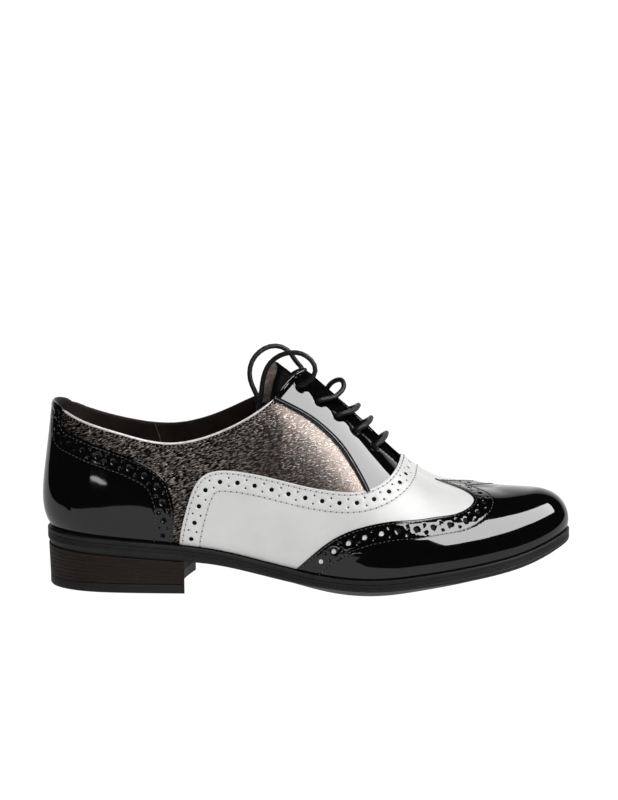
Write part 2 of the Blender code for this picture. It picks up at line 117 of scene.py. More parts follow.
class Finish:
    """One material: constants go on the shader's own sockets, patterns come from nodes."""

    def __init__(self, name, **constants):
        self.material = bpy.data.materials.new(name)
        self.material.use_nodes = True
        self.tree = self.material.node_tree
        self.shader = self.tree.nodes["Principled BSDF"]
        for socket, value in constants.items():
            self.shader.inputs[socket.replace("_", " ")].default_value = value

    def node(self, kind, settings=None, sockets=None, out=0):
        made = self.tree.nodes.new("ShaderNode" + kind)
        for name, value in (settings or {}).items():
            if name == "stops":
                ramp = made.color_ramp
                while len(ramp.elements) < len(value):
                    ramp.elements.new(0.5)
                for element, (place, shade) in zip(ramp.elements, value):
                    element.position = place
                    element.color = shade
            else:
                setattr(made, name, value)
        for name, value in (sockets or {}).items():
            plug(self.tree, made.inputs[name], value)
        return Wire(self.tree, made.outputs[out])

    def place(self, stretch=(1.0, 1.0, 1.0), turn=(0.0, 0.0, 0.0)):
        spot = self.node("TexCoord", out=3)
        if any(turn):
            spot = self.node("Mapping", sockets={"Vector": spot, "Rotation": turn})
        return self.node("Mapping", sockets={"Vector": spot, "Scale": stretch})

    def noise(self, where, scale, detail=3.0, rough=0.5):
        sockets = {"Vector": where, "Scale": scale, "Detail": detail, "Roughness": rough}
        return self.node("TexNoise", sockets=sockets)

    def cells(self, where, scale, feature="F1"):
        return self.node("TexVoronoi", {"feature": feature}, {"Vector": where, "Scale": scale})

    def ramp(self, value, *stops):
        return self.node("ValToRGB", {"stops": stops}, {"Fac": value})

    def bump(self, height, deep):
        return self.node("Bump", None, {"Height": height, "Distance": deep, "Strength": 1.0})

    def feed(self, **sockets):
        for name, value in sockets.items():
            plug(self.tree, self.shader.inputs[name.replace("_", " ")], value)

    def roughen(self, scale, deep, stretch=(1.0, 1.0, 1.0)):
        """Finely uneven surface for a plain finish."""
        self.feed(Normal=self.bump(self.noise(self.place(stretch), scale), deep))
        return self


def grey(value):
    return (value, value, value, 1.0)


def ground(name, corners, height, glow, mirrored):
    """Level sheet of the studio: one lights the shoe, the mirrored one shows in polished leather."""
    finish = Finish(name + "_white", Base_Color=grey(0.0), Roughness=1.0,
                    Emission_Color=grey(1.0), Emission_Strength=glow)
    bm = bmesh.new()
    bm.faces.new([bm.verts.new((x, y, height)) for x, y in corners])
    data = bpy.data.meshes.new(name)
    bm.to_mesh(data)
    bm.free()
    data.materials.append(finish.material)
    piece = placed(name, data)
    piece.visible_glossy = mirrored
    piece.visible_camera = piece.visible_diffuse = not mirrored
    piece.visible_shadow = False


FLOOR_HALF = 30.0
TABLE_EDGE = (
    (-2.0, 2.0), (-0.45, 0.05), (-0.27, -0.11), (-0.21, -0.23), (-0.17, -0.31), (-0.125, -0.46),
    (-0.105, -0.46), (-0.042, -0.25), (-0.015, -0.16), (0.015, -0.108), (0.05, -0.10), (0.10, -0.12),
    (0.20, -0.13), (0.9, 0.6), (2.0, 2.0),
)
ground("floor", [(x * FLOOR_HALF, y * FLOOR_HALF) for x, y in ((-1, -1), (1, -1), (1, 1), (-1, 1))],
       -0.0004, 1.0, False)
ground("table", TABLE_EDGE, -0.0002, 0.62, True)

# Brightness of the room by how far a reflection points away from the camera
ROOM_SHADES = ((0.70, 0.012), (0.72, 0.36), (0.93, 1.15))
room = bpy.data.worlds.new("studio_room")
room.use_nodes = True
bpy.context.scene.world = room
room_nodes = room.node_tree.nodes
room_back = room_nodes["Background"]
direction = room_nodes.new("ShaderNodeTexCoord")
split = room_nodes.new("ShaderNodeSeparateXYZ")
shade = room_nodes.new("ShaderNodeValToRGB")
room.node_tree.links.new(direction.outputs["Generated"], split.inputs[0])
room.node_tree.links.new(split.outputs["Y"], shade.inputs[0])
shade.color_ramp.elements.new(0.5)
for element, (place, bright) in zip(shade.color_ramp.elements, ROOM_SHADES):
    element.position = place
    element.color = grey(bright)
room.node_tree.links.new(shade.outputs[0], room_back.inputs[0])
LIGHT_AIM = Vector((0.0, 0.0, 0.06))


def softbox(name, turn, rise, far, size, power, mirrored):
    """Area light that faces the shoe; a mirrored one only shows in polished leather, others only light it."""
    data = bpy.data.lights.new(name, "AREA")
    data.shape = "RECTANGLE"
    data.size, data.size_y = size
    data.energy = power
    light = placed(name, data)
    way = bearing(turn, rise)
    light.location = way * far + LIGHT_AIM
    light.rotation_euler = way.to_track_quat("Z", "Y").to_euler()
    light.visible_glossy = mirrored
    light.visible_diffuse = not mirrored


softbox("key_shine", 63.5, 43.5, 1.3, (1.93, 0.72), 43.5, True)
softbox("key_light", 40.0, 46.0, 1.3, (1.6, 0.9), 4.8, False)
softbox("top_light", 70.0, 82.0, 1.4, (1.2, 1.2), 17.0, False)
softbox("fill_light", -40.0, 30.0, 1.6, (1.4, 1.0), 2.4, False)
softbox("window_shine", -23.0, 0.4, 2.0, (0.50, 0.042), 0.3, True)
bpy.data.lights["window_shine"].shape = "ELLIPSE"

# Last: the wooden form the shoe is drawn over. Every leather piece is cut from its surface,
# so its tables stand here as they do in the part's source, in millimetres.
CENTRE = np.array((1.48, 0.13, 0.0))
HEEL_BACK, TOE_TIP, TOE_SWING = -136.6, 135.8, 4.0
SPINE_BACK, SPINE_FRONT = -97.0, 108.0
WELT_EDGE = 2.2
GAP = 0.3
PLAN = (
    (-133.0, 13.5, 13.5), (-119.5, 25.0, 25.0), (-95.0, 29.8, 29.4), (-60.0, 30.0, 28.0),
    (-25.0, 32.4, 25.4), (10.0, 40.4, 31.0), (40.0, 45.6, 40.6), (62.0, 45.0, 45.4),
    (86.0, 39.6, 43.4), (106.0, 31.6, 37.2), (121.5, 21.4, 28.0), (131.4, 10.4, 17.6),
)
FEATHER = (
    (-137.0, 30.4, 8.4, 0.0), (-100.0, 28.1, 8.4, 0.0), (-66.0, 25.4, 8.0, 0.0), (-46.0, 23.0, 7.4, 0.8),
    (-25.0, 18.8, 7.1, 2.0), (-5.0, 14.9, 6.9, 3.4), (13.0, 12.4, 6.5, 5.2), (28.0, 11.6, 6.2, 5.9),
    (42.0, 12.1, 6.2, 5.6), (60.0, 14.2, 6.4, 4.6), (80.0, 16.9, 6.9, 3.4), (100.0, 20.1, 7.0, 2.4),
    (115.0, 23.4, 6.9, 1.6), (126.0, 27.0, 6.6, 0.8), (137.0, 31.0, 6.0, 0.0),
)
LAST = (
    (-97.0, 206.0, 2.6, 2.0, 4.6, 17.0, 1.9), (-60.0, 171.0, 2.0, 1.7, 3.8, 18.0, 1.7),
    (-20.0, 134.4, 1.7, 1.8, 2.6, 17.0, 1.35), (6.0, 110.4, 1.6, 1.9, 2.0, 15.0, 1.15),
    (24.0, 93.2, 1.6, 2.0, 1.8, 14.0, 1.1), (40.0, 76.6, 1.7, 2.1, 1.6, 12.0, 1.05),
    (50.0, 66.0, 1.85, 2.2, 1.6, 10.0, 1.0), (58.0, 59.2, 2.0, 2.3, 1.5, 9.0, 1.0),
    (67.0, 54.9, 2.2, 2.4, 1.4, 8.0, 1.0), (78.0, 52.4, 2.4, 2.5, 1.3, 7.0, 1.0),
    (92.0, 50.3, 2.7, 2.8, 1.2, 6.0, 1.0), (108.0, 50.8, 3.0, 3.0, 1.2, 6.0, 1.0),
)


class Curve:
    """Natural cubic spline through one column of a table."""

    def __init__(self, xs, ys):
        self.x = np.array(xs, float)
        self.y = np.array(ys, float)
        step = np.diff(self.x)
        slope = np.diff(self.y) / step
        count = len(self.x)
        system = np.eye(count)
        right = np.zeros(count)
        for row in range(1, count - 1):
            system[row, row - 1:row + 2] = step[row - 1], 2 * (step[row - 1] + step[row]), step[row]
            right[row] = 6 * (slope[row] - slope[row - 1])
        self.bend = np.linalg.solve(system, right)

    def __call__(self, x):
        x = np.clip(np.asarray(x, float), self.x[0], self.x[-1])
        row = np.clip(np.searchsorted(self.x, x) - 1, 0, len(self.x) - 2)
        step = self.x[row + 1] - self.x[row]
        left = (self.x[row + 1] - x) / step
        right = 1 - left
        bent = (left ** 3 - left) * self.bend[row] + (right ** 3 - right) * self.bend[row + 1]
        return left * self.y[row] + right * self.y[row + 1] + bent * step * step / 6


def along_runs(points):
    """Distance along a path to each of its points."""
    return np.concatenate([[0], np.cumsum(np.linalg.norm(np.diff(points, axis=0), axis=1))])


def curve_through(points, run, at):
    """Points at given runs on the smooth path through others."""
    return np.stack([Curve(run, column)(at) for column in points.T], axis=1)


def column_curves(table):
    columns = list(zip(*table))
    return [Curve(columns[0], column) for column in columns[1:]]


def spline_path(points, count):
    """Even samples of a smooth open path through given points."""
    points = np.array(points, float)
    run = along_runs(points)
    return curve_through(points, run, np.linspace(0, run[-1], count))


feather_z, sole_thick, sole_crown = column_curves(FEATHER)
ridge_z, round_top, round_side, swell_out, swell_high, row_bias = column_curves(LAST)


def plan_loop(samples):
    """Sole edge as a closed loop: heel back, outer side, toe, inner side."""
    outer = [(x, -out) for x, out, _ in PLAN]
    inner = [(x, inn) for x, _, inn in reversed(PLAN)]
    loop = [(HEEL_BACK, 0.0)] + outer + [(TOE_TIP, TOE_SWING)] + inner
    wrap = 4
    points = np.array(loop[-wrap:] + loop + loop[:wrap + 1], float)
    run = along_runs(points)
    return curve_through(points, run, np.linspace(run[wrap], run[wrap + len(loop)], samples, endpoint=False))


EDGE = plan_loop(4320)


def inset_loop(inset):
    """Sole edge drawn in by a distance, starting at the heel back."""
    along = np.roll(EDGE, -1, axis=0) - np.roll(EDGE, 1, axis=0)
    along /= np.linalg.norm(along, axis=1)[:, None]
    loop = EDGE + inset * np.stack([-along[:, 1], along[:, 0]], axis=1)
    return np.roll(loop, -int(np.argmin(loop[:, 0])), axis=0)


FOOT = inset_loop(WELT_EDGE)
FOOT = np.vstack([FOOT, FOOT[:1]])
RUN = along_runs(FOOT)
ROUND = RUN[-1]
# Taken off a run, this counts the inner side back from the heel
LAP = {-1: 0.0, 1: ROUND}
SIDES = ((-1, "outer"), (1, "inner"))
TIP_ROW = int(np.argmax(FOOT[:, 0]))
TIP = RUN[TIP_ROW]
FOOT_BACK, FOOT_TIP = FOOT[0, 0], FOOT[TIP_ROW, 0]


def foot_at(s):
    """Plan point on the feather line a run from the heel back, by the outer side."""
    s = np.mod(s, ROUND)
    return np.interp(s, RUN, FOOT[:, 0]), np.interp(s, RUN, FOOT[:, 1])


def foot_run(x, side):
    """Run along the feather line to the point with this x."""
    if side < 0:
        return np.interp(x, FOOT[:TIP_ROW + 1, 0], RUN[:TIP_ROW + 1])
    return np.interp(x, FOOT[:TIP_ROW - 1:-1, 0], RUN[:TIP_ROW - 1:-1])


def foot_under(x, side):
    """Run along the feather line of the meridian that ends at x on the ridge."""
    share = (np.asarray(x, float) - SPINE_BACK) * (FOOT_TIP - FOOT_BACK)
    return foot_run(FOOT_BACK + share / (SPINE_FRONT - SPINE_BACK), side)


def ridge_place(foot_x):
    x = SPINE_BACK + (foot_x - FOOT_BACK) * (SPINE_FRONT - SPINE_BACK) / (FOOT_TIP - FOOT_BACK)
    y = TOE_SWING * ((x - HEEL_BACK) / (TOE_TIP - HEEL_BACK)) ** 2
    return x, y


def last_points(foot_x, foot_y, turn):
    """Outside of the finished upper: turn 0 at the feather line, 1 on the ridge."""
    top_x, top_y = ridge_place(foot_x)
    low = feather_z(foot_x) + GAP
    angle = math.pi / 2 * turn ** row_bias(top_x)
    reach = np.maximum(np.cos(angle), 0.0) ** (2 / round_top(top_x))
    climb = np.sin(angle) ** (2 / round_side(top_x)) * (ridge_z(top_x) - low)
    rise = climb / swell_high(top_x)
    swell = swell_out(top_x) * rise * np.exp(1 - rise) * (1 - turn ** 8)
    span = np.hypot(foot_x - top_x, foot_y - top_y)
    reach = reach + swell / span
    across = [top_x + (foot_x - top_x) * reach, top_y + (foot_y - top_y) * reach, low + climb]
    return np.stack(np.broadcast_arrays(*across), axis=-1)


RUN_STEPS, TURN_STEPS = 640, 240
GRID_RUN = np.linspace(0, ROUND, RUN_STEPS + 1)
GRID_TURN = np.linspace(0, 1, TURN_STEPS + 1)
grid_x, grid_y = foot_at(np.minimum(GRID_RUN, ROUND - 1e-6))
LAST_GRID = last_points(grid_x[:, None], grid_y[:, None], GRID_TURN[None, :])
girths = np.linalg.norm(np.diff(LAST_GRID, axis=1), axis=2)
GIRTH = np.concatenate([np.zeros((RUN_STEPS + 1, 1)), np.cumsum(girths, axis=1)], axis=1)
FULL_GIRTH = GIRTH[:, -1]
EVEN_TURN = np.stack([np.interp(GRID_TURN * row[-1], row, GRID_TURN) for row in GIRTH])


def full_girth(s):
    return np.interp(np.mod(s, ROUND), GRID_RUN, FULL_GIRTH)


def skin(s, h):
    """Point of the last at a run along the feather line and a girth up from it."""
    s = np.mod(np.asarray(s, float), ROUND)
    foot_x, foot_y = foot_at(s)
    row = s / ROUND * RUN_STEPS
    low = np.clip(row.astype(int), 0, RUN_STEPS - 1)
    part = row - low
    share = np.clip(h / full_girth(s), 0, 1) * TURN_STEPS
    col = np.clip(share.astype(int), 0, TURN_STEPS - 1)
    rest = share - col
    here = EVEN_TURN[low, col] * (1 - rest) + EVEN_TURN[low, col + 1] * rest
    there = EVEN_TURN[low + 1, col] * (1 - rest) + EVEN_TURN[low + 1, col + 1] * rest
    return last_points(foot_x, foot_y, here * (1 - part) + there * part)


def slopes(s, h, form=skin, step=0.4):
    """Change of the surface along the run and up the girth."""
    s, h = np.asarray(s, float), np.asarray(h, float)
    top = full_girth(s)
    up, down = np.minimum(h + step, top), np.maximum(h - step, 0.0)
    along = (form(s + step, h) - form(s - step, h)) / (2 * step)
    girth = (form(s, up) - form(s, down)) / (up - down)[..., None]
    return along, girth


def outward(s, h, form=skin, step=0.4):
    """Unit normal of the last, pointing out of the shoe."""
    along, girth = slopes(s, h, form, step)
    out = np.cross(along, girth)
    size = np.linalg.norm(out, axis=-1, keepdims=True)
    return np.where(size > 1e-4, out / np.maximum(size, 1e-9), np.array((0.0, 0.0, 1.0)))


def slide(s, h, vector):
    """Flat-pattern step that moves a point of the last by a short vector along its surface."""
    along, girth = slopes(s, h)
    aa, ag, gg = (along * along).sum(-1), (along * girth).sum(-1), (girth * girth).sum(-1)
    va, vg = (along * vector).sum(-1), (girth * vector).sum(-1)
    flat = np.maximum(aa * gg - ag * ag, 1e-6)
    return s + (va * gg - vg * ag) / flat, h + (vg * aa - va * ag) / flat


def find(points, side, axes):
    """Flat-pattern place of points given in side view (axes 0, 2) or in plan (axes 0, 1)."""
    points = np.array(points, float)
    half = GRID_RUN < TIP if side < 0 else GRID_RUN > TIP
    runs = GRID_RUN[half]
    cloud = LAST_GRID[half][:, :, axes]
    s, h = [], []
    for point in points:
        gap = ((cloud - point) ** 2).sum(-1)
        at = np.unravel_index(np.argmin(gap), gap.shape)
        s.append(runs[at[0]])
        h.append(GIRTH[half][at])
    s, h = np.array(s), np.array(h)
    for _ in range(6):
        miss = points - skin(s, h)[:, axes]
        along, girth = (part[:, axes] for part in slopes(s, h))
        det = along[:, 0] * girth[:, 1] - along[:, 1] * girth[:, 0]
        det = np.where(np.abs(det) < 0.02, np.inf, det)
        s = s + np.clip((miss[:, 0] * girth[:, 1] - miss[:, 1] * girth[:, 0]) / det, -2, 2)
        h = h + np.clip((along[:, 0] * miss[:, 1] - along[:, 1] * miss[:, 0]) / det, -2, 2)
        h = np.clip(h, 0, full_girth(s))
    return np.stack([s, h], axis=1)


def run_lengths(path):
    """Distance along the leather to each point of a flat-pattern path."""
    return along_runs(skin(*path.T))


def smooth_path(knots, step):
    """Even flat-pattern path through knots, spaced along the leather."""
    run = run_lengths(knots)
    keep = np.concatenate([[True], np.diff(run) > 0.05])
    run, knots = run[keep], knots[keep]
    return curve_through(knots, run, np.linspace(0, run[-1], max(4, int(run[-1] / step))))


def even_path(path, step, start=0.0):
    """Points along a path at a pitch."""
    run = run_lengths(path)
    at = np.arange(start, run[-1], step)
    return np.stack([np.interp(at, run, path[:, axis]) for axis in (0, 1)], axis=1)


def directions(path):
    """Along, across to the left and out of the leather at each point of a path."""
    spots = skin(*path.T)
    along = np.gradient(spots, axis=0)
    along /= np.maximum(np.linalg.norm(along, axis=1)[:, None], 1e-9)
    out = outward(*path.T)
    left = np.cross(out, along)
    left /= np.maximum(np.linalg.norm(left, axis=1)[:, None], 1e-9)
    return along, left, out


def beside(path, gap):
    """Path a distance to the left of another on the leather, without loops in its corners."""
    moved = path.copy()
    steps = max(1, int(abs(gap) / 1.5))
    for _ in range(steps):
        left = directions(moved)[1]
        s, h = slide(*moved.T, left * gap / steps)
        moved = np.stack([s, np.clip(h, 0, full_girth(s))], axis=1)
    tree = point_tree(skin(*path.T))
    keep = [tree.find(spot)[2] > abs(gap) * 0.93 for spot in skin(*moved.T)]
    return even_path(moved[np.array(keep)], 0.5)


def point_tree(points):
    tree = KDTree(len(points))
    for index, point in enumerate(points):
        tree.insert(point, index)
    tree.balance()
    return tree


def distances(tree, points):
    found = [tree.find(point) for point in points]
    return np.array([spot[2] for spot in found]), np.array([spot[1] for spot in found])


def inside(points, loop):
    """Which flat-pattern points lie inside a closed loop."""
    x, y = points[:, 0], points[:, 1]
    hit = np.zeros(len(points), bool)
    for (ax, ay), (bx, by) in zip(loop, np.roll(loop, -1, axis=0)):
        if ay == by:
            continue
        cross = (ay > y) != (by > y)
        hit ^= cross & (x < (bx - ax) * (y - ay) / (by - ay) + ax)
    return hit


def object_from(name, bm, *finishes):
    """Mesh object from a bmesh in millimetres of the tables."""
    bmesh.ops.translate(bm, vec=CENTRE, verts=bm.verts)
    bmesh.ops.scale(bm, vec=(MM, MM, MM), verts=bm.verts)
    data = bpy.data.meshes.new(name)
    bm.to_mesh(data)
    bm.free()
    for finish in finishes:
        data.materials.append(finish.material)
    piece = placed(name, data)
    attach(piece, "root")
    return piece


def turning(loop):
    """Signed area of a flat loop."""
    after = np.roll(loop, -1, axis=0)
    return (loop[:, 0] * after[:, 1] - loop[:, 1] * after[:, 0]).sum() / 2


def ring_edges(start, count):
    return [(start + at, start + (at + 1) % count) for at in range(count)]


EDGE_DROP = 0.55
ROW_DEEP, ROW_WIDE = 0.1, 0.5
HOLE_DROP, HOLE_WIDE = 0.3, 0.6
HOLE_COLLAR, HOLE_CLEAR = 0.35, 0.55
PIT_DEEP = 0.7
EDGE_RINGS, ROW_RINGS = (0.3, 0.75), (-0.55, 0.0, 0.55)
BACK_STEP = 5.0
RIM_STRAY, RIM_CLEAR, WELD_REACH = 1.6, 0.2, 0.3
POLE_CALM, POLE_BLEND, POLE_FIT = 7.0, 13.0, 17.0


def no_relief(spots):
    return np.zeros(len(spots))


def eased(share):
    """Smooth start and end for a share that runs from 0 to 1."""
    return share * share * (3 - 2 * share)


def rolled_off(near):
    """Round drop from 0 to 1 as a share of the way to an edge grows."""
    return 1 - np.sqrt(1 - near ** 2)


def cut_rim(region):
    """Points of each loop that lie inside the region's other loops."""
    rim = []
    for index, loop in enumerate(region):
        fit = np.ones(len(loop), bool)
        for other, fence in enumerate(region):
            if other != index:
                fit &= inside(loop, fence)
        rim.append(loop[fit])
    return np.vstack(rim)


def hole_rings(s, h, radius, sides):
    """Flat-pattern rings of a punched hole: its rim and a collar round it."""
    turn = np.arange(sides) * 2 * math.pi / sides
    at_s, at_h = np.full(sides, s), np.full(sides, h)
    first = slopes(at_s, at_h)[0]
    first /= np.linalg.norm(first, axis=1)[:, None]
    second = np.cross(outward(at_s, at_h), first)
    spoke = np.cos(turn)[:, None] * first + np.sin(turn)[:, None] * second
    return [Vector(pair) for reach in (radius, radius + HOLE_COLLAR)
            for pair in zip(*slide(at_s, at_h, spoke * reach))]


def calm_pole(base, spots, shade, pole):
    """Even out the leather where all meridians meet, on a curved sheet fitted to the ring round it."""
    x, y = (base - pole)[:, :2].T
    far = np.hypot(x, y)
    ring = (far > POLE_CALM) & (far < POLE_FIT) & (np.abs(shade).sum(axis=1) > 0)
    terms = np.column_stack([np.ones(len(x)), x, y, x * x, x * y, y * y])
    fit = np.linalg.lstsq(terms[ring], spots[ring, 2], rcond=None)[0]
    along_x = -fit[1] - 2 * fit[3] * x - fit[4] * y
    along_y = -fit[2] - fit[4] * x - 2 * fit[5] * y
    calm = np.column_stack([along_x, along_y, np.ones(len(x))])
    calm /= np.linalg.norm(calm, axis=1)[:, None]
    share = eased(np.clip((far - POLE_CALM) / (POLE_BLEND - POLE_CALM), 0, 1))
    near = far < POLE_BLEND
    spots[near, 2] += ((terms @ fit - spots[:, 2]) * (1 - share))[near]
    shade[near] = (calm * (1 - share)[:, None] + shade * share[:, None])[near]


def sink_floors(bm, floors, under_layer, shade_layer, finish_index):
    """Push the faces inside punched holes down, and give them and their walls a finish of their own, dark as painted
    shade.
    """
    for item in bmesh.ops.extrude_face_region(bm, geom=floors)["geom"]:
        if isinstance(item, bmesh.types.BMVert):
            item.co = item.co.lerp(item[under_layer], PIT_DEEP)
            item[shade_layer] = (0, 0, 0)
        elif isinstance(item, bmesh.types.BMFace):
            item.material_index = finish_index
            for line in item.edges:
                for wall in line.link_faces:
                    wall.material_index = finish_index
                    wall.smooth = False
    bmesh.ops.delete(bm, geom=[face for face in floors if face.is_valid], context="FACES")


def panel(name, loops, finishes, lift, thick, fine=2.0, holes=(), rows=(), relief=no_relief, edge=0.8,
          welds=False, stress=1.0, pole=None):
    """Leather panel cut in the flat and laid on the last, with turned edges, punched holes and stitch troughs.

    Each region is a list of closed loops whose common ground is leather; holes are (s, h, radius, sides).
    A negative thickness turns the good side to the inside of the shoe. stress steepens the relief in the
    shading alone, and pole is a place where meridians meet.
    """
    def form(s, h):
        base = skin(s, h)
        return base + outward(s, h) * level_at(base, stress)[:, None]

    def level_at(base, strength=1.0):
        level = lift + relief(base) * strength
        near = np.clip(1 - distances(rim_tree, base)[0] / edge, 0, 1)
        level = level - EDGE_DROP * thick * rolled_off(near)
        if row_tree:
            level = level - ROW_DEEP * np.exp(-(distances(row_tree, base)[0] / ROW_WIDE) ** 2)
        if hole_tree:
            gap, nearest = distances(hole_tree, base)
            near = np.clip(1 - (gap - holes[nearest, 2]) / HOLE_WIDE, 0, 1)
            level = level - HOLE_DROP * rolled_off(near)
        return level

    holes = np.array(holes, float).reshape(-1, 4)
    hole_tree = point_tree(skin(*holes[:, :2].T)) if len(holes) else None
    row_tree = None
    if len(rows):
        dense = np.vstack([even_path(row, 0.15) for row in rows])
        row_tree = point_tree(skin(*dense.T))
    bm = bmesh.new()
    shade_layer = bm.verts.layers.float_vector.new("shade")
    under_layer = bm.verts.layers.float_vector.new("under")
    kind = bm.verts.layers.int.new("kind")
    seam_layer = bm.verts.layers.int.new("seam")
    for region in loops:
        region = [loop if turning(loop) > 0 else loop[::-1] for loop in region]
        rim = cut_rim(region)
        low, high = rim.min(0), rim.max(0)
        if welds:
            rim = rim[(rim[:, 1] < full_girth(rim[:, 0]) - WELD_REACH) & (rim[:, 0] % ROUND > WELD_REACH)]
        corners = skin(*rim.T)
        rim = np.vstack([rim + (np.roll(rim, -1, axis=0) - rim) * part for part in (0.0, 0.25, 0.5, 0.75)])
        rim = rim[np.linalg.norm(skin(*rim.T) - np.tile(corners, (4, 1)), axis=1) <= RIM_STRAY]
        rim_tree = point_tree(skin(*rim.T))
        for layer in ("face", "back"):
            step = fine if layer == "face" else max(BACK_STEP, fine)
            across, up = np.arange(low[0], high[0], step), np.arange(low[1], high[1], step * 0.87)
            grid = np.stack(np.meshgrid(across, up), axis=-1)
            grid[1::2, :, 0] += step / 2
            spare = [grid.reshape(-1, 2)]
            if layer == "face":
                lines = [(loop, EDGE_RINGS, 1) for loop in region] + [(row, ROW_RINGS, 2) for row in rows]
                for line, gaps, skip in lines:
                    left = directions(line)[1]
                    spare += [np.stack(slide(*line.T, left * gap), axis=1)[::skip] for gap in gaps]
            spare = np.vstack(spare)
            good = (spare[:, 1] < full_girth(spare[:, 0]) - 0.5) | (not welds)
            for loop in region:
                good &= inside(spare, loop)
            spare = spare[good]
            spots = skin(*spare.T)
            good = distances(rim_tree, spots)[0] > RIM_CLEAR
            if hole_tree and layer == "face":
                gap, nearest = distances(hole_tree, spots)
                good &= gap > holes[nearest, 2] + HOLE_CLEAR
            cloud = [Vector(point) for point in spare[good]]
            edges = []
            for loop in region:
                edges += ring_edges(len(cloud), len(loop))
                cloud += [Vector(point) for point in loop]
            if layer == "face":
                for s, h, radius, sides in holes:
                    if all(inside(np.array([(s, h)]), loop)[0] for loop in region):
                        edges += ring_edges(len(cloud), int(sides))
                        cloud += hole_rings(s, h, radius, int(sides))
            points, _, faces = delaunay_2d_cdt(cloud, edges, [], 0, 1e-4)[:3]
            points = np.array([tuple(point) for point in points])
            faces = np.array([tuple(face) for face in faces])
            middle = points[faces].mean(axis=1)
            good = np.ones(len(faces), bool)
            for loop in region:
                good &= inside(middle, loop)
            faces, middle = faces[good], middle[good]
            used, faces = np.unique(faces, return_inverse=True)
            faces = faces.reshape(-1, 3)
            s, h = points[used].T
            out = outward(s, h)
            base = skin(s, h)
            under = base + out * (lift + relief(base) - thick)[:, None]
            spots = under if layer == "back" else base + out * level_at(base)[:, None]
            shade = np.zeros_like(base)
            if layer == "face":
                shade = outward(s, h, form, 0.12) * math.copysign(1, thick)
            shade[h > full_girth(s) - 1.0] = 0
            if pole is not None and layer == "face":
                calm_pole(base, spots, shade, pole)
            verts = []
            for at, spot in enumerate(spots):
                vert = bm.verts.new(spot)
                vert[kind] = int(layer == "face")
                vert[shade_layer] = shade[at]
                vert[under_layer] = under[at]
                vert[seam_layer] = int(welds and (h[at] > full_girth(s[at]) - 0.02 or s[at] % ROUND < 0.02))
                verts.append(vert)
            sunken = np.zeros(len(faces), bool)
            if layer == "face" and hole_tree:
                gap, nearest = distances(hole_tree, skin(*middle.T))
                sunken = gap < holes[nearest, 2] * 0.97
            floors = []
            for corners, sunk in zip(faces, sunken):
                order = corners if (layer == "face") == (thick > 0) else corners[::-1]
                face = bm.faces.new([verts[corner] for corner in order])
                face.smooth = True
                if sunk:
                    floors.append(face)
            if floors:
                sink_floors(bm, floors, under_layer, shade_layer, len(finishes) - 1)
    if welds:
        bmesh.ops.remove_doubles(bm, verts=[vert for vert in bm.verts if vert[seam_layer]], dist=WELD_REACH)
    border = [line for line in bm.edges if line.is_boundary and all(vert[kind] for vert in line.verts)]
    for line in border:
        line.smooth = False
    for item in bmesh.ops.extrude_edge_only(bm, edges=border)["geom"]:
        if isinstance(item, bmesh.types.BMVert):
            item.co = item[under_layer]
            item[kind] = 0
    bmesh.ops.remove_doubles(bm, verts=[vert for vert in bm.verts if not vert[kind]], dist=0.01)
    bm.verts.index_update()
    shade = np.array([vert[shade_layer] if vert[kind] else (0, 0, 0) for vert in bm.verts])
    piece = object_from(name, bm, *finishes)
    data = piece.data
    corner = np.zeros(len(data.loops), int)
    data.loops.foreach_get("vertex_index", corner)
    data.normals_split_custom_set(shade[corner])
    return piece


def refinish(piece, index, finish, tree, reach):
    """Give another finish to a piece's faces of one finish that lie within reach of a tree's points."""
    piece.data.materials.append(finish.material)
    middles = np.array([face.center for face in piece.data.polygons]) / MM - CENTRE
    for face, gap in zip(piece.data.polygons, distances(tree, middles)[0]):
        if face.material_index == index and gap < reach:
            face.material_index = len(piece.data.materials) - 1


def seam(side, foot_x=None, side_view=(), plan_view=(), ridge_x=None):
    """Seam from the feather line up the side, over the top in plan and on to the ridge."""
    knots = []
    if foot_x is not None:
        knots.append([(foot_run(foot_x, side), 0.0)])
    if len(side_view):
        knots.append(find(side_view, side, [0, 2]))
    if len(plan_view):
        knots.append(find([(x, ridge_place(x)[1] + side * off) for x, off in plan_view], side, [0, 1]))
    if ridge_x is not None:
        run = foot_under(ridge_x, side)
        knots.append([(run, full_girth(run))])
    return smooth_path(np.vstack(knots), 0.8)


def ridge_line(side, start_x, end_x):
    """Ridge between two places, for one side."""
    run = foot_under(np.linspace(start_x, end_x, max(2, int(abs(end_x - start_x) / 1.1))), side)
    return np.stack([run, full_girth(run)], axis=1)


def feather_line(start, end):
    run = np.linspace(start, end, max(2, int(abs(end - start) / 1.2)))
    return np.stack([run, np.zeros(len(run))], axis=1)


def loop_of(*paths):
    """Closed loop from paths end to end, without doubled points."""
    points = np.vstack(paths)
    gap = np.linalg.norm(points - np.roll(points, 1, axis=0), axis=1)
    return points[gap > 0.05]


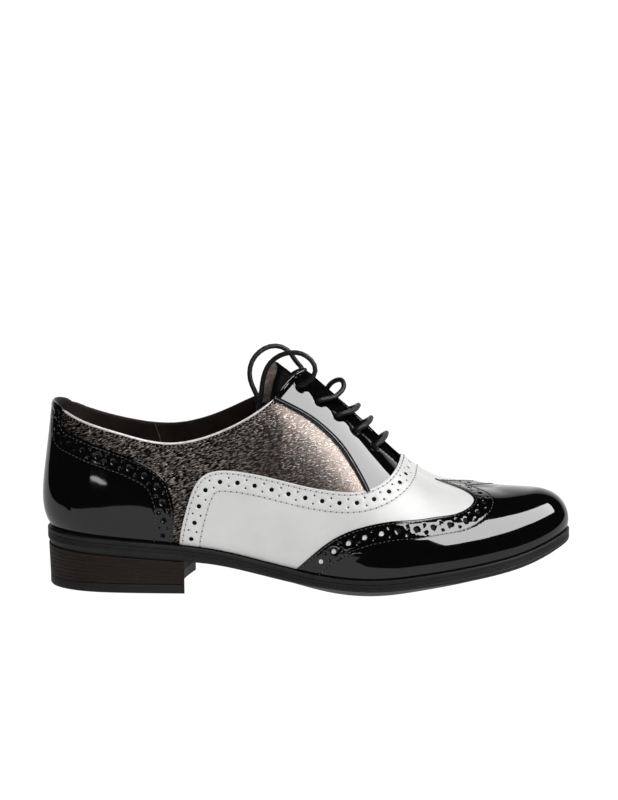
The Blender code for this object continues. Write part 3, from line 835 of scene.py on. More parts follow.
def sole_grid(name, rows, finish, stations=150):
    """Closed form along the sole from rows of (inset, drop, crown), top to bottom; no drop means the tread."""
    count = len(rows)
    bm = bmesh.new()
    bmesh.ops.create_grid(bm, x_segments=stations, y_segments=2 * count, size=1.0)
    share = (1 - np.cos(np.linspace(0, math.pi, stations + 1))) / 2
    table = np.zeros((stations + 1, 2 * count + 1, 3))
    for row in range(2 * count + 1):
        at = row % (2 * count)
        inset, drop, crown = rows[at] if at < count else rows[2 * count - 1 - at]
        loop = inset_loop(inset)
        tip = int(np.argmax(loop[:, 0]))
        outer = loop[:tip + 1]
        half = outer if at < count else np.vstack([loop[tip:], loop[:1]])[::-1]
        x = outer[0, 0] + (outer[-1, 0] - outer[0, 0]) * share
        y = np.interp(x, half[:, 0], half[:, 1])
        z = feather_z(x) - (sole_thick(x) + crown * sole_crown(x) if drop is None else drop)
        table[:, row] = np.stack([x, y, np.maximum(z, 0.0)], axis=1)
    for vert in bm.verts:
        across = round((vert.co.x + 1) / 2 * stations)
        up = round((vert.co.y + 1) / 2 * 2 * count)
        vert.co = table[across, up]
    bmesh.ops.remove_doubles(bm, verts=bm.verts, dist=0.02)
    bmesh.ops.dissolve_degenerate(bm, edges=bm.edges, dist=0.005)
    bmesh.ops.recalc_face_normals(bm, faces=bm.faces)
    return object_from(name, bm, finish)


def smooth_by_angle(piece, degrees):
    """Smooth shading with creases where the form turns sharply."""
    piece.data.shade_smooth()
    sharp = bmesh.new()
    sharp.from_mesh(piece.data)
    for line in sharp.edges:
        line.smooth = line.calc_face_angle(0.0) < math.radians(degrees)
    sharp.to_mesh(piece.data)
    sharp.free()


def tube(name, route, radius, finish, sides=14, swell=None):
    """Round cord or roll along a route, closed at both ends."""
    route = np.asarray(route, float)
    count = len(route)
    along = np.gradient(route, axis=0)
    along /= np.linalg.norm(along, axis=1)[:, None]
    lead = np.cross(along[0], (0.3, 0.2, 1.0))
    frames = []
    for arrow in along:
        lead = lead - arrow * lead.dot(arrow)
        lead = lead / np.linalg.norm(lead)
        frames.append((lead, np.cross(arrow, lead)))
    bm = bmesh.new()
    bmesh.ops.create_grid(bm, x_segments=count - 1, y_segments=sides, size=1.0)
    for vert in bm.verts:
        step = round((vert.co.x + 1) / 2 * (count - 1))
        turn = (vert.co.y + 1) * math.pi
        first, second = frames[step]
        size = radius if swell is None else radius * swell[step]
        vert.co = route[step] + size * (first * math.cos(turn) + second * math.sin(turn))
    bmesh.ops.remove_doubles(bm, verts=bm.verts, dist=radius * 0.02)
    bmesh.ops.holes_fill(bm, edges=[line for line in bm.edges if line.is_boundary], sides=0)
    bmesh.ops.recalc_face_normals(bm, faces=bm.faces)
    piece = object_from(name, bm, finish)
    smooth_by_angle(piece, 50)
    return piece


def stitches(name, rows, finish, pitch, long, radius, start=0.5):
    """Thread: short sunk stitches along rows of (path, lift over the last), joined in one mesh; in a dark finish the
    same marks paint the shade in needle holes.
    """
    seed = bmesh.new()
    bmesh.ops.create_icosphere(seed, subdivisions=1, radius=1.0)
    shape = np.array([tuple(vert.co) for vert in seed.verts]) * (long / 2, radius, radius)
    corners = np.array([[vert.index for vert in face.verts] for face in seed.faces])
    seed.free()
    spots, faces = [], []
    for path, lift in rows:
        places = even_path(path, pitch, pitch * start)
        if len(places) < 3:
            continue
        along, left, out = directions(places)
        middle = skin(*places.T) + out * lift
        for at in range(len(places)):
            faces.append(corners + len(spots) * len(shape))
            spots.append(middle[at] + shape @ np.stack([along[at], left[at], out[at]]))
    data = bpy.data.meshes.new(name)
    data.from_pydata((np.vstack(spots) + CENTRE) * MM, [], np.vstack(faces).tolist())
    data.shade_smooth()
    data.materials.append(finish.material)
    piece = placed(name, data)
    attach(piece, "root")
    return piece


def punched(path, pitch, start, spread, big=1.2, small=0.52):
    """Brogue pattern along a path: one large hole, then a pair of small ones across it."""
    large = even_path(path, pitch, start)
    pair = even_path(path, pitch, start + pitch / 2)
    left = directions(pair)[1]
    holes = [(s, h, big, 14) for s, h in large]
    for way in (-spread, spread):
        holes += [(s, h, small, 8) for s, h in zip(*slide(*pair.T, left * way))]
    return [hole for hole in holes if 1.8 < hole[1] < full_girth(hole[0]) - hole[2] - 0.9]


# Sole: a moulded rubber outsole with fine level ribs round its edge and a crowned tread, a rubber
# welt above it, and the insole board inside. The three are cemented together.
WELT_THICK, WELT_WIDTH, INSOLE_THICK = 2.0, 7.0, 3.0
rubber = Finish("sole_rubber", Specular_IOR_Level=0.28)
spot = rubber.place()
fine = rubber.noise(spot, 900.0, 4.0)
broad = rubber.noise(spot, 60.0, 3.0)
rubber.feed(
    Base_Color=rubber.ramp(
        broad * 0.7 + fine * 0.3, (0.3, (0.006, 0.006, 0.0063, 1)), (0.7, (0.013, 0.013, 0.0135, 1))),
    Roughness=0.42 + 0.25 * fine,
    Normal=rubber.bump(fine, 0.00012),
)
RIBS, RIB_TOP, RIB_PITCH = 3, 3.05, 0.62
outsole_rows = [
    (WELT_WIDTH + GAP, 0.0, 0), (WELT_WIDTH + GAP, WELT_THICK + GAP, 0), (0.3, WELT_THICK + GAP, 0), (0.05, 2.5, 0),
]
for rib in range(RIBS):
    top = RIB_TOP + rib * RIB_PITCH
    outsole_rows += [(0.0, top, 0), (0.0, top + 0.3, 0), (0.14, top + 0.40, 0), (0.14, top + 0.50, 0)]
outsole_rows += [
    (0.0, 5.0, 0), (0.0, 5.35, 0), (0.2, 6.0, 0), (1.2, None, 0.0), (3.6, None, 0.16), (10.0, None, 0.7),
    (20.0, None, 1.0),
]
outsole = sole_grid("rubber_outsole", outsole_rows, rubber)
smooth_by_angle(outsole, 25)
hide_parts("outsole")
welt = sole_grid("rubber_welt", [
    (WELT_WIDTH - 0.2, 0.1, 0), (0.9, 0.0, 0), (0.35, 0.12, 0), (0.0, 0.5, 0), (0.0, 1.9, 0), (0.1, 2.1, 0),
    (0.5, 2.2, 0), (WELT_WIDTH - 0.2, 2.2, 0),
], rubber)
smooth_by_angle(welt, 30)
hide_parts("welt")

lining = Finish("lining_leather", Specular_IOR_Level=0.25)
spot = lining.place()
hide = lining.noise(spot, 70.0, 5.0, 0.6)
pores = lining.cells(spot, 1500.0)
lining.feed(
    Base_Color=lining.ramp(hide, (0.3, (0.010, 0.005, 0.004, 1)), (0.75, (0.030, 0.016, 0.012, 1))),
    Roughness=0.5 + 0.2 * hide,
    Normal=lining.bump(pores, 0.0001),
)
WALL_DEPTH, WALL, SOCK_GAP = 1.35, 1.8, 0.7
sock_inset = WELT_EDGE + WALL_DEPTH + WALL + SOCK_GAP
sock_top = -GAP - INSOLE_THICK
sock = sole_grid("sock_insole", [
    (24.0, sock_top - 0.1, 0), (12.0, sock_top, 0), (sock_inset + 1.0, sock_top, 0),
    (sock_inset, sock_top + 0.8, 0), (sock_inset, -GAP, 0), (24.0, -GAP, 0),
], lining)
smooth_by_angle(sock, 40)
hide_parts("insole")

# Heel: leather-board lifts stacked and stained dark brown, with a hollowed breast, on a rubber top
# lift. They are glued and nailed under the sole.
TOP_LIFT, BREAST_X, BREAST_HOLLOW = 4.9, -62.0, 4.0


def heel_loop(inset, steps=36):
    """Ring of the heel: round the back between the breast corners, then along the breast."""
    loop = inset_loop(inset)
    tip = int(np.argmax(loop[:, 0]))
    outer, inner = loop[:tip + 1], np.vstack([loop[tip:], loop[:1]])[::-1]
    share = 1 - np.cos(np.linspace(0, math.pi / 2, steps + 1))
    xs = outer[0, 0] + (BREAST_X - outer[0, 0]) * share
    out = np.stack([xs, np.interp(xs, outer[:, 0], outer[:, 1])], axis=1)
    inn = np.stack([xs, np.interp(xs, inner[:, 0], inner[:, 1])], axis=1)
    across = np.linspace(out[-1, 1], inn[-1, 1], steps + 1)[1:-1]
    hollow = BREAST_HOLLOW * np.sin(math.pi * (across - out[-1, 1]) / (inn[-1, 1] - out[-1, 1]))
    return np.vstack([out, np.stack([BREAST_X - hollow, across], axis=1), inn[:0:-1]])


def heel_form(name, rows, *finishes):
    """Heel piece through rings of (inset, height, share of the rise to the sole); the breast has the last finish, on
    the stack a black that paints the shade under the arch.
    """
    rings = []
    for inset, height, share in rows:
        ring = heel_loop(inset)
        sole = feather_z(ring[:, 0]) - sole_thick(ring[:, 0]) - GAP
        rings.append(np.column_stack([ring, height + share * (sole - height)]))
    count = len(rings[0])
    bm = bmesh.new()
    bmesh.ops.create_grid(bm, x_segments=count, y_segments=len(rows) - 1, size=1.0)
    for vert in bm.verts:
        at = round((vert.co.x + 1) / 2 * count) % count
        vert.co = rings[round((vert.co.y + 1) / 2 * (len(rows) - 1))][at]
    bmesh.ops.remove_doubles(bm, verts=bm.verts, dist=0.005)
    bmesh.ops.holes_fill(bm, edges=[line for line in bm.edges if line.is_boundary], sides=0)
    bmesh.ops.recalc_face_normals(bm, faces=bm.faces)
    # Faces toward the toe are the breast: on the stack they take the black of painted shade under the arch.
    for face in bm.faces:
        if face.normal.x > 0.5:
            face.material_index = len(finishes) - 1
    piece = object_from(name, bm, *finishes)
    smooth_by_angle(piece, 28)
    return piece


# Black: the facings' own thread, and painted shade on the heel breast, in needle holes and in the grooves by the
# folded facing edge.
ink_and_shade = Finish("edge_ink_and_painted_shade", Base_Color=grey(0.003), Roughness=0.6, Specular_IOR_Level=0.1).roughen(1800.0, 0.0001)
stack = Finish("stacked_heel", Specular_IOR_Level=0.22)
layers = stack.noise(stack.place((1.0, 1.0, 9.0)), 90.0, 4.0, 0.65)
specks = stack.cells(stack.place(), 900.0)
fibre = stack.noise(stack.place((1.0, 1.0, 4.0)), 420.0, 3.0)
dust = stack.ramp(specks, (0.0, grey(1.0)), (0.07, grey(1.0)), (0.12, grey(0.0)))
tone = stack.ramp(
    layers * 0.65 + fibre * 0.35, (0.3, (0.0045, 0.0028, 0.0022, 1)), (0.7, (0.020, 0.0105, 0.0075, 1)))
stack.feed(
    Base_Color=stack.node("Mix", {"data_type": "RGBA"}, {0: dust * 0.3, 6: tone, 7: (0.30, 0.17, 0.08, 1)}, 2),
    Roughness=0.45 + 0.3 * fibre,
    Normal=stack.bump(layers, 0.0003),
)
LIFT_COUNT, LIFT_GROOVE, GROOVE_SHARE = 8, 0.1, 0.012
HEEL_INSET, HEEL_FLARE = 1.1, 0.6
lift_rings = []
for step in range(LIFT_COUNT):
    low, high = step / LIFT_COUNT, (step + 1) / LIFT_COUNT
    for share, sunk in ((low, LIFT_GROOVE), (low + GROOVE_SHARE, 0.0), (high - GROOVE_SHARE, 0.0)):
        lift_rings.append((HEEL_INSET - HEEL_FLARE * share + sunk, TOP_LIFT + GAP, share))
heel = heel_form("heel_stack_lifts", lift_rings + [(0.5 + LIFT_GROOVE, TOP_LIFT + GAP, 1.0)], stack, ink_and_shade)
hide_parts("heel_stack")
top_lift = heel_form("rubber_top_lift", [
    (2.2, 0.0, 0), (1.5, 0.12, 0), (1.1, 0.7, 0), (1.1, 4.2, 0), (1.25, 4.6, 0), (1.1, TOP_LIFT, 0),
], rubber)
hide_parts("top_lift")

# Quarters: metallic pewter leather with a streaked grain, cut in one with the back and lasted over
# the lining. The laces pull it in at the throat, where the grain is stretched flatter; there its colour is
# also paler and evener, a painted highlight.
TOP_LINE = (
    (-148.0, 98.5, 98.0), (-133.0, 96.4, 95.6), (-122.0, 91.8, 90.4), (-95.0, 83.2, 81.8), (-70.0, 78.2, 80.2),
    (-45.0, 83.4, 87.8), (-24.0, 94.2, 98.6), (-16.6, 99.9, 102.6), (-9.2, 108.6, 109.4), (-4.0, 112.6, 112.6),
    (2.0, 114.4, 114.4), (12.0, 116.0, 116.0),
)
SLIT = 3.4
THROAT_END = 52.0
COLLAR_STEPS = 260
top_rows = spline_path(TOP_LINE, 300)


def collar_girth(s):
    """Girth up a meridian at which it meets the top line."""
    found = []
    for run in np.atleast_1d(s):
        up = np.linspace(20.0, full_girth(run), COLLAR_STEPS)
        spots = skin(np.full(COLLAR_STEPS, run), up)
        inner = np.clip((spots[:, 1] + 18) / 36, 0, 1)
        top = np.interp(spots[:, 0], top_rows[:, 0], top_rows[:, 1]) * (1 - inner)
        top += np.interp(spots[:, 0], top_rows[:, 0], top_rows[:, 2]) * inner
        over = spots[:, 2] - top
        at = int(np.argmax(over > 0)) if (over > 0).any() else COLLAR_STEPS - 1
        part = over[at - 1] / (over[at - 1] - over[at]) if over[at] > 0 else 1.0
        found.append(up[at - 1] + (up[at] - up[at - 1]) * part)
    return np.array(found)


COLLAR_RUN = np.linspace(-190.0, 190.0, 382)
COLLAR_GIRTH = collar_girth(COLLAR_RUN)


def top_girth(s):
    """Upper limit of the quarters and facings: the top line, or the edge of the lacing slit."""
    return np.minimum(np.interp(s, COLLAR_RUN, COLLAR_GIRTH), full_girth(s) - SLIT)


def top_edge(start, end, step=0.8):
    run = np.linspace(start, end, max(2, int(abs(end - start) / step)))
    return np.stack([run, top_girth(run)], axis=1)


EYELETS, EYELET_X, EYELET_PITCH, EYELET_GIRTH = 5, -0.5, 8.9, 16.5


def eyelet(number, side):
    run = foot_under(EYELET_X + EYELET_PITCH * number, side)
    return run, full_girth(run) - EYELET_GIRTH


EYELET_SPOTS = np.vstack([
    skin(*np.array([eyelet(number, side)]).T) for side in (-1, 1) for number in range(EYELETS)])
FACING_SEAM = (
    (-22.0, 103.0), (-16.0, 100.1), (-6.0, 95.2), (3.3, 89.9), (10.7, 84.2), (18.2, 77.0), (23.9, 69.3),
    (28.7, 61.8), (31.4, 57.0), (34.0, 51.0),
)
THROAT_TOP = 1.2
facing_rear, facing_top, throat_top, crowns = {}, {}, {}, {}
for side in (-1, 1):
    facing_rear[side] = smooth_path(find(FACING_SEAM, side, [0, 2]), 0.8)
    run = facing_rear[side][:, 0] - LAP[side]
    facing_top[side] = run[int(np.argmin(np.abs(facing_rear[side][:, 1] - top_girth(run))))]
    throat_top[side] = foot_under(THROAT_TOP, side) - LAP[side]
    crowns[side] = top_edge(throat_top[side], facing_top[side], 0.6)
crown_tree = point_tree(np.vstack([skin(*crown.T) for crown in crowns.values()]))
ridge_run = foot_under(np.linspace(-40.0, 62.0, 180), -1)
ridge_tree = point_tree(skin(ridge_run, full_girth(ridge_run)))

# How far the leather falls in at the slit, in millimetres
FALL_REACH, SCALLOP, SCALLOP_WIDE, FALL_MOST = 15.5, 2.4, 2.6, 16.0
ROLL_DEEP, ROLL_WIDE, SLOPE, SLOPE_FROM, SLACK = 0.75, 5.5, 0.13, 3.0, 0.045
LEAN_IN, LEAN_IN_FROM, LEAN_ON, LEAN_ON_FROM = 0.03, 34.0, 0.036, -12.0
FALL_SHARE = 0.25
CROWN_TURN, CROWN_WIDE = 0.225, 2.6
SLACK_FROM, SLACK_RUN = 20.0, 16.0
DIMPLE, DIMPLE_WIDE = 0.04, 2.2


def lace_fall(spots):
    """Depth by which the leather falls in toward the slit; the lace drags it further down at each hole."""
    x = spots[:, 0]
    reach = np.full(len(spots), FALL_REACH)
    for hole_x in EYELET_SPOTS[:EYELETS, 0]:
        reach += SCALLOP * np.exp(-((x - hole_x) / SCALLOP_WIDE) ** 2)
    from_ridge = distances(ridge_tree, spots)[0]
    over = np.clip(reach - from_ridge, 0, FALL_MOST)
    slack = np.clip((SLACK_FROM - x) / SLACK_RUN, 0, 1)
    fall = ROLL_DEEP * (1 - np.exp(-(over / ROLL_WIDE) ** 2))
    fall = fall + SLOPE * np.clip(over - SLOPE_FROM, 0, FALL_MOST) + SLACK * over * slack
    lean = LEAN_IN * np.clip(LEAN_IN_FROM - from_ridge, 0, 40) + LEAN_ON * np.clip(x - LEAN_ON_FROM, 0, 72)
    return FALL_SHARE * (fall + lean)


def lace_pull(spots):
    """Fall toward the slit, a dimple where the lace pulls at each hole, and the turned edge of the facings."""
    sunk = -lace_fall(spots) - CROWN_TURN * np.clip(CROWN_WIDE - distances(crown_tree, spots)[0], 0, CROWN_WIDE)
    for centre in EYELET_SPOTS:
        gap = np.linalg.norm(spots - centre, axis=1)
        sunk -= DIMPLE * np.exp(-(gap / DIMPLE_WIDE) ** 2)
    return sunk


QUARTER_FRONT = 38.0
QUARTER_OUTER, QUARTER_INNER = (foot_run(QUARTER_FRONT, side) - LAP[side] for side in (-1, 1))
pewter = Finish("pewter_leather", Metallic=0.97)
spot = pewter.place()
grain = pewter.place((0.30, 0.35, 1.15), (0.0, math.radians(20.0), 0.0))
pebble = pewter.cells(grain, 1100.0, "DISTANCE_TO_EDGE")
crinkle = pewter.noise(grain, 1500.0, 2.0, 0.55)
wrinkle = pewter.noise(pewter.place((0.4, 0.4, 1.5), (0.0, math.radians(6.0), 0.0)), 420.0, 1.0, 0.4)
cloudy = pewter.noise(spot, 45.0, 3.0)
along = pewter.node("SeparateXYZ", sockets={"Vector": spot})
heelward = pewter.ramp(along * -20.0 - 1.1, (0.0, grey(0.0)), (1.0, grey(1.0)))
taut_and_highlight = pewter.ramp(along * 14.0 + 0.62, (0.0, grey(0.0)), (1.0, grey(1.0)))
dome = pewter.ramp(pebble * 0.6 + crinkle, (0.53, grey(0.0)), (0.80, grey(1.0)))
PEWTER_DEEP = (0.006, 0.005, 0.0045, 1)
PEWTER_BRIGHT = (0.48, 0.407, 0.370, 1)
flatter_grain_and_highlight = 1.0 - taut_and_highlight * 0.65
# Toward the throat the colour is paler and evener: a painted highlight.
pewter.feed(
    Base_Color=pewter.ramp(dome * flatter_grain_and_highlight + taut_and_highlight * 0.29, (0.0, PEWTER_DEEP), (1.0, PEWTER_BRIGHT)),
    Roughness=0.30 + 0.06 * cloudy,
    Normal=pewter.bump((dome + crinkle * 0.35) * flatter_grain_and_highlight + wrinkle * heelward * 14.0, 0.00015),
)
QUARTER_STRESS = 11.0
quarters = panel("pewter_quarters", [[loop_of(
    feather_line(QUARTER_INNER, QUARTER_OUTER),
    np.array([(QUARTER_OUTER, h) for h in np.arange(1.0, float(top_girth(QUARTER_OUTER)), 1.0)]),
    top_edge(QUARTER_OUTER, QUARTER_INNER),
    np.array([(QUARTER_INNER, h) for h in np.arange(float(top_girth(QUARTER_INNER)) - 1.0, 0.5, -1.0)]),
)]], [pewter], lift=-0.9, thick=0.8, fine=1.8, relief=lace_pull, stress=QUARTER_STRESS)
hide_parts("upper")

# Lining: brown leather inside the whole upper, seen at the collar; it is cemented to the upper, turned in
# at the top line, and joined by a seam on each side.
lining_top = []
for s in np.linspace(0.0, ROUND, 900):
    near = s if s < TIP else s - ROUND
    ridge_x = ridge_place(foot_at(s)[0])[0]
    lining_top.append((s, float(full_girth(s)) if ridge_x > THROAT_END else float(top_girth(near)) + 0.3))
back_rise = np.arange(1.0, float(top_girth(0.0)) - 0.6, 1.5)
HAIR = 1e-4
lining_piece = panel("brown_lining", [[loop_of(
    feather_line(0.0, ROUND - HAIR)[1:-1] + (0.0, 1.0),
    np.stack([np.full(len(back_rise), ROUND - HAIR), back_rise], axis=1),
    np.array(lining_top[::-1]) - (HAIR, 0.0),
    np.stack([np.zeros(len(back_rise)), back_rise[::-1]], axis=1),
)]], [lining], lift=-3.05, thick=-0.8, fine=3.0, relief=lace_pull, welds=True)
LINING_JOIN = -83.5
TWIST = (1.0, 1.0, 3.0)
tan_thread = Finish("lining_join", Base_Color=(0.11, 0.065, 0.046, 1), Roughness=0.55).roughen(2500.0, 0.0001, TWIST)
for side, word in SIDES:
    run = float(foot_run(LINING_JOIN, side)) - LAP[side]
    runs = run - side * np.linspace(0.0, 14.0, 26)
    girths = float(top_girth(run)) - np.linspace(0.4, 34.0, 26)
    join = tube("lining_join_" + word, skin(runs, girths) - outward(runs, girths) * 3.1, 0.32, tan_thread, 8)

# Counter: black patent leather round the heel, with a strip up the back to the collar. A punched band
# follows its edge between two rows of black stitching.
COUNTER_SEAM = (
    (-126.4, 93.6), (-126.6, 89.5), (-125.8, 85.4), (-118.7, 81.3), (-110.4, 78.2), (-95.2, 73.2),
    (-82.4, 67.8), (-72.6, 60.5), (-68.1, 50.1), (-67.1, 44.6), (-67.4, 34.0),
)
# A stitch, or the dark mark that paints the shade in a needle hole: pitch, length, radius, and for needle holes the
# start as a share of the pitch
FINE_STITCH, FINE_NEEDLE_SHADE = (2.3, 1.35, 0.3), (2.3, 0.5, 0.32, 0.0)
patent = Finish("patent_leather", IOR=1.58)
spot = patent.place()
ripple = patent.noise(spot, 42.0, 2.0, 0.4)
peel = patent.noise(spot, 600.0, 2.0)
wear = patent.noise(spot, 25.0, 5.0, 0.65)
motes = patent.cells(spot, 420.0)
mote = patent.ramp(motes, (0.0, grey(1.0)), (0.03, grey(1.0)), (0.05, grey(0.0)))
lacquer = patent.ramp(wear, (0.35, (0.0015, 0.0015, 0.0017, 1)), (0.75, (0.0035, 0.003, 0.003, 1)))
patent.feed(
    Base_Color=patent.node("Mix", {"data_type": "RGBA"}, {0: mote * 0.10, 6: lacquer, 7: (0.35, 0.30, 0.26, 1)}, 2),
    Roughness=0.02 + 0.05 * wear,
    Normal=patent.bump(ripple + peel * 0.01, 0.00022),
)
# Floors and walls of punched holes: near black, painted shade in the holes.
pit_shade = Finish("punched_pit_painted_shade", Base_Color=grey(0.004), Roughness=0.5, Specular_IOR_Level=0.08).roughen(2500.0, 0.0001)
# Black thread coloured dark grey rather than black: in part a painted sheen for its glints.
thread_and_painted_sheen = Finish("thread_and_painted_sheen", Base_Color=grey(0.05), Roughness=0.2, IOR=1.6).roughen(3000.0, 0.0001, TWIST)
CREASE_X, CREASE_Z, CREASE_LEAN = -124.0, 65.0, 0.124
CREASE_LOW, CREASE_HIGH, CREASE_FADE = 38.0, 72.0, 6.0
CREASE_DEEP, CREASE_WIDE = 0.2, 1.4


def heel_crease(spots):
    """Soft upright trough where the counter bends round the heel on the outer side."""
    x, y, z = spots.T
    across = x - CREASE_X - CREASE_LEAN * (CREASE_Z - z)
    along = np.clip((z - CREASE_LOW) / CREASE_FADE, 0, 1) * np.clip((CREASE_HIGH - z) / CREASE_FADE, 0, 1)
    return np.where(y < 0, -CREASE_DEEP * np.exp(-(across / CREASE_WIDE) ** 2) * along, 0.0)


counter_sides = [seam(side, -67.8, COUNTER_SEAM[::-1]) for side in (-1, 1)]
outer_edge, inner_edge = counter_sides[0], counter_sides[1] - (ROUND, 0.0)
counter_rows, counter_holes = [], []
for edge_path, way in ((outer_edge, 1), (inner_edge, -1)):
    counter_rows += [beside(edge_path, 1.3 * way), beside(edge_path, 9.6 * way)]
    counter_holes += punched(beside(edge_path, 5.2 * way), pitch=8.7, start=4.6, spread=2.1)
counter = panel("patent_counter", [[loop_of(
    feather_line(inner_edge[0, 0], outer_edge[0, 0]), outer_edge[1:],
    top_edge(outer_edge[-1, 0], inner_edge[-1, 0]), inner_edge[::-1][:-1],
)]], [patent, pit_shade], lift=0.0, thick=0.85, fine=1.4, holes=counter_holes, rows=counter_rows, relief=heel_crease)
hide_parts("heel_counter")
counter_thread = stitches("counter_stitching", [(row, 0.06) for row in counter_rows], thread_and_painted_sheen, *FINE_STITCH)
counter_needle_shade = stitches("counter_needle_hole_shade", [(row, 0.0) for row in counter_rows], ink_and_shade, *FINE_NEEDLE_SHADE)

# Vamp: smooth white leather over the forefoot that runs back along both sides, lasted over the lining.
# A punched band follows its upper edge, with a row of white stitching on each side of it.
VAMP_SEAM = (
    (-61.7, 40.3), (-57.8, 53.2), (-52.9, 61.1), (-46.1, 64.3), (-37.2, 64.6), (-19.9, 62.0), (-1.1, 58.1),
    (11.4, 56.2), (23.9, 55.5), (33.0, 56.7), (42.1, 60.8), (46.4, 64.6),
)
VAMP_LAP_SIDE = ((10.0, 18.0), (24.0, 28.0), (45.0, 33.0), (70.0, 34.0), (92.0, 37.0))
VAMP_LAP_PLAN = ((95.0, 22.0), (90.0, 13.0), (84.0, 5.0))
white = Finish("white_leather", Roughness=0.4)
spot = white.place()
pores = white.cells(spot, 1500.0)
soil = white.noise(spot, 40.0, 4.0, 0.6)
folds = white.noise(white.place((1.0, 1.0, 0.6)), 130.0, 4.0, 0.55)
white.feed(
    Base_Color=white.ramp(soil, (0.25, (0.74, 0.74, 0.73, 1)), (0.7, (0.84, 0.84, 0.83, 1))),
    Roughness=0.36 + 0.16 * soil,
    Normal=white.bump(pores * 0.25 + folds, 0.00012),
)
white_thread = Finish("white_thread", Base_Color=(0.62, 0.62, 0.60, 1), Roughness=0.6).roughen(3000.0, 0.0001, TWIST)
# Grey marks at the stitch ends on the white vamp: painted shade of the needle holes.
needle_shade = Finish("needle_hole_painted_shade", Base_Color=grey(0.05), Roughness=0.8).roughen(2500.0, 0.0001)
VAMP_RIDGE, VAMP_LAP_RIDGE = 48.6, 80.0
VAMP_STITCH, VAMP_NEEDLE_SHADE = (2.95, 2.0, 0.3), (2.95, 1.0, 0.42, 0.0)
vamp_loops, vamp_rows, vamp_holes, vamp_edges = [], [], [], {}
for side in (-1, 1):
    upper_edge = seam(side, -64.4, VAMP_SEAM, (), VAMP_RIDGE)
    lap = seam(side, 2.0, VAMP_LAP_SIDE, VAMP_LAP_PLAN, VAMP_LAP_RIDGE)
    vamp_edges[side] = upper_edge
    vamp_loops.append([loop_of(
        upper_edge, ridge_line(side, VAMP_RIDGE, VAMP_LAP_RIDGE)[1:-1],
        lap[::-1], feather_line(lap[0, 0], upper_edge[0, 0])[1:-1],
    )])
    vamp_rows += [beside(upper_edge, gap * side) for gap in (1.6, 10.6)]
    vamp_holes += punched(beside(upper_edge, 5.8 * side), pitch=9.0, start=4.0, spread=2.1)
vamp = panel("white_vamp", vamp_loops, [white, pit_shade], lift=0.0, thick=0.85, holes=vamp_holes, rows=vamp_rows,
             welds=True)
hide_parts("vamp")
vamp_thread = stitches("vamp_stitching", [(row, -0.04) for row in vamp_rows], white_thread, *VAMP_STITCH)
vamp_needle_shade = stitches("vamp_needle_hole_shade", [(row, -0.1) for row in vamp_rows], needle_shade, *VAMP_NEEDLE_SHADE)

# Wing: the black patent toe cap, with a peak over the ridge and two wings back to the waist. It is laid
# over the vamp and stitched down on both sides of its punched band; white shows in the rear holes.
WING_SEAM = (
    (5.6, 24.2), (13.8, 30.9), (24.3, 36.5), (36.6, 40.1), (48.8, 41.8), (58.6, 42.1), (68.3, 42.9), (79.8, 44.3),
)
WING_PEAK, WING_RIDGE = ((86.4, 20.0), (83.4, 14.6), (77.0, 8.0), (70.0, 2.4)), 66.0
LIT_HOLES, LIT_REACH = 47.0, 1.25
wing_sides = {side: seam(side, -4.0, WING_SEAM, WING_PEAK, WING_RIDGE) for side in (-1, 1)}
wing_rows, wing_holes = [], []
for side, edge_path in wing_sides.items():
    wing_rows += [beside(edge_path, 1.2 * side), beside(edge_path, 9.8 * side)]
    wing_holes += punched(beside(edge_path, 5.4 * side), pitch=8.8, start=10.0, spread=2.1)
toe_pole = skin(np.array([TIP]), np.array([float(full_girth(TIP))]))[0]
wing = panel("patent_wing", [[loop_of(
    feather_line(wing_sides[-1][0, 0], wing_sides[1][0, 0]), wing_sides[1][1:],
    ridge_line(1, WING_RIDGE, SPINE_FRONT)[1:], ridge_line(-1, SPINE_FRONT, WING_RIDGE)[1:-1],
    wing_sides[-1][::-1][:-1],
)]], [patent, pit_shade], lift=0.7, thick=0.68, fine=1.6, holes=wing_holes, rows=wing_rows, welds=True, pole=toe_pole)
# Only the rear holes show the white vamp; the front holes keep near-black floors of painted shade.
lit = skin(*np.array([(s, h) for s, h, radius, _ in wing_holes if radius > 1.0]).T)
refinish(wing, 1, white, point_tree(lit[lit[:, 0] < LIT_HOLES]), LIT_REACH)
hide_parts("toe_cap")
wing_thread = stitches("wing_stitching", [(row, 0.76) for row in wing_rows], thread_and_painted_sheen, *FINE_STITCH)
wing_needle_shade = stitches("wing_needle_hole_shade", [(row, 0.7) for row in wing_rows], ink_and_shade, *FINE_NEEDLE_SHADE)
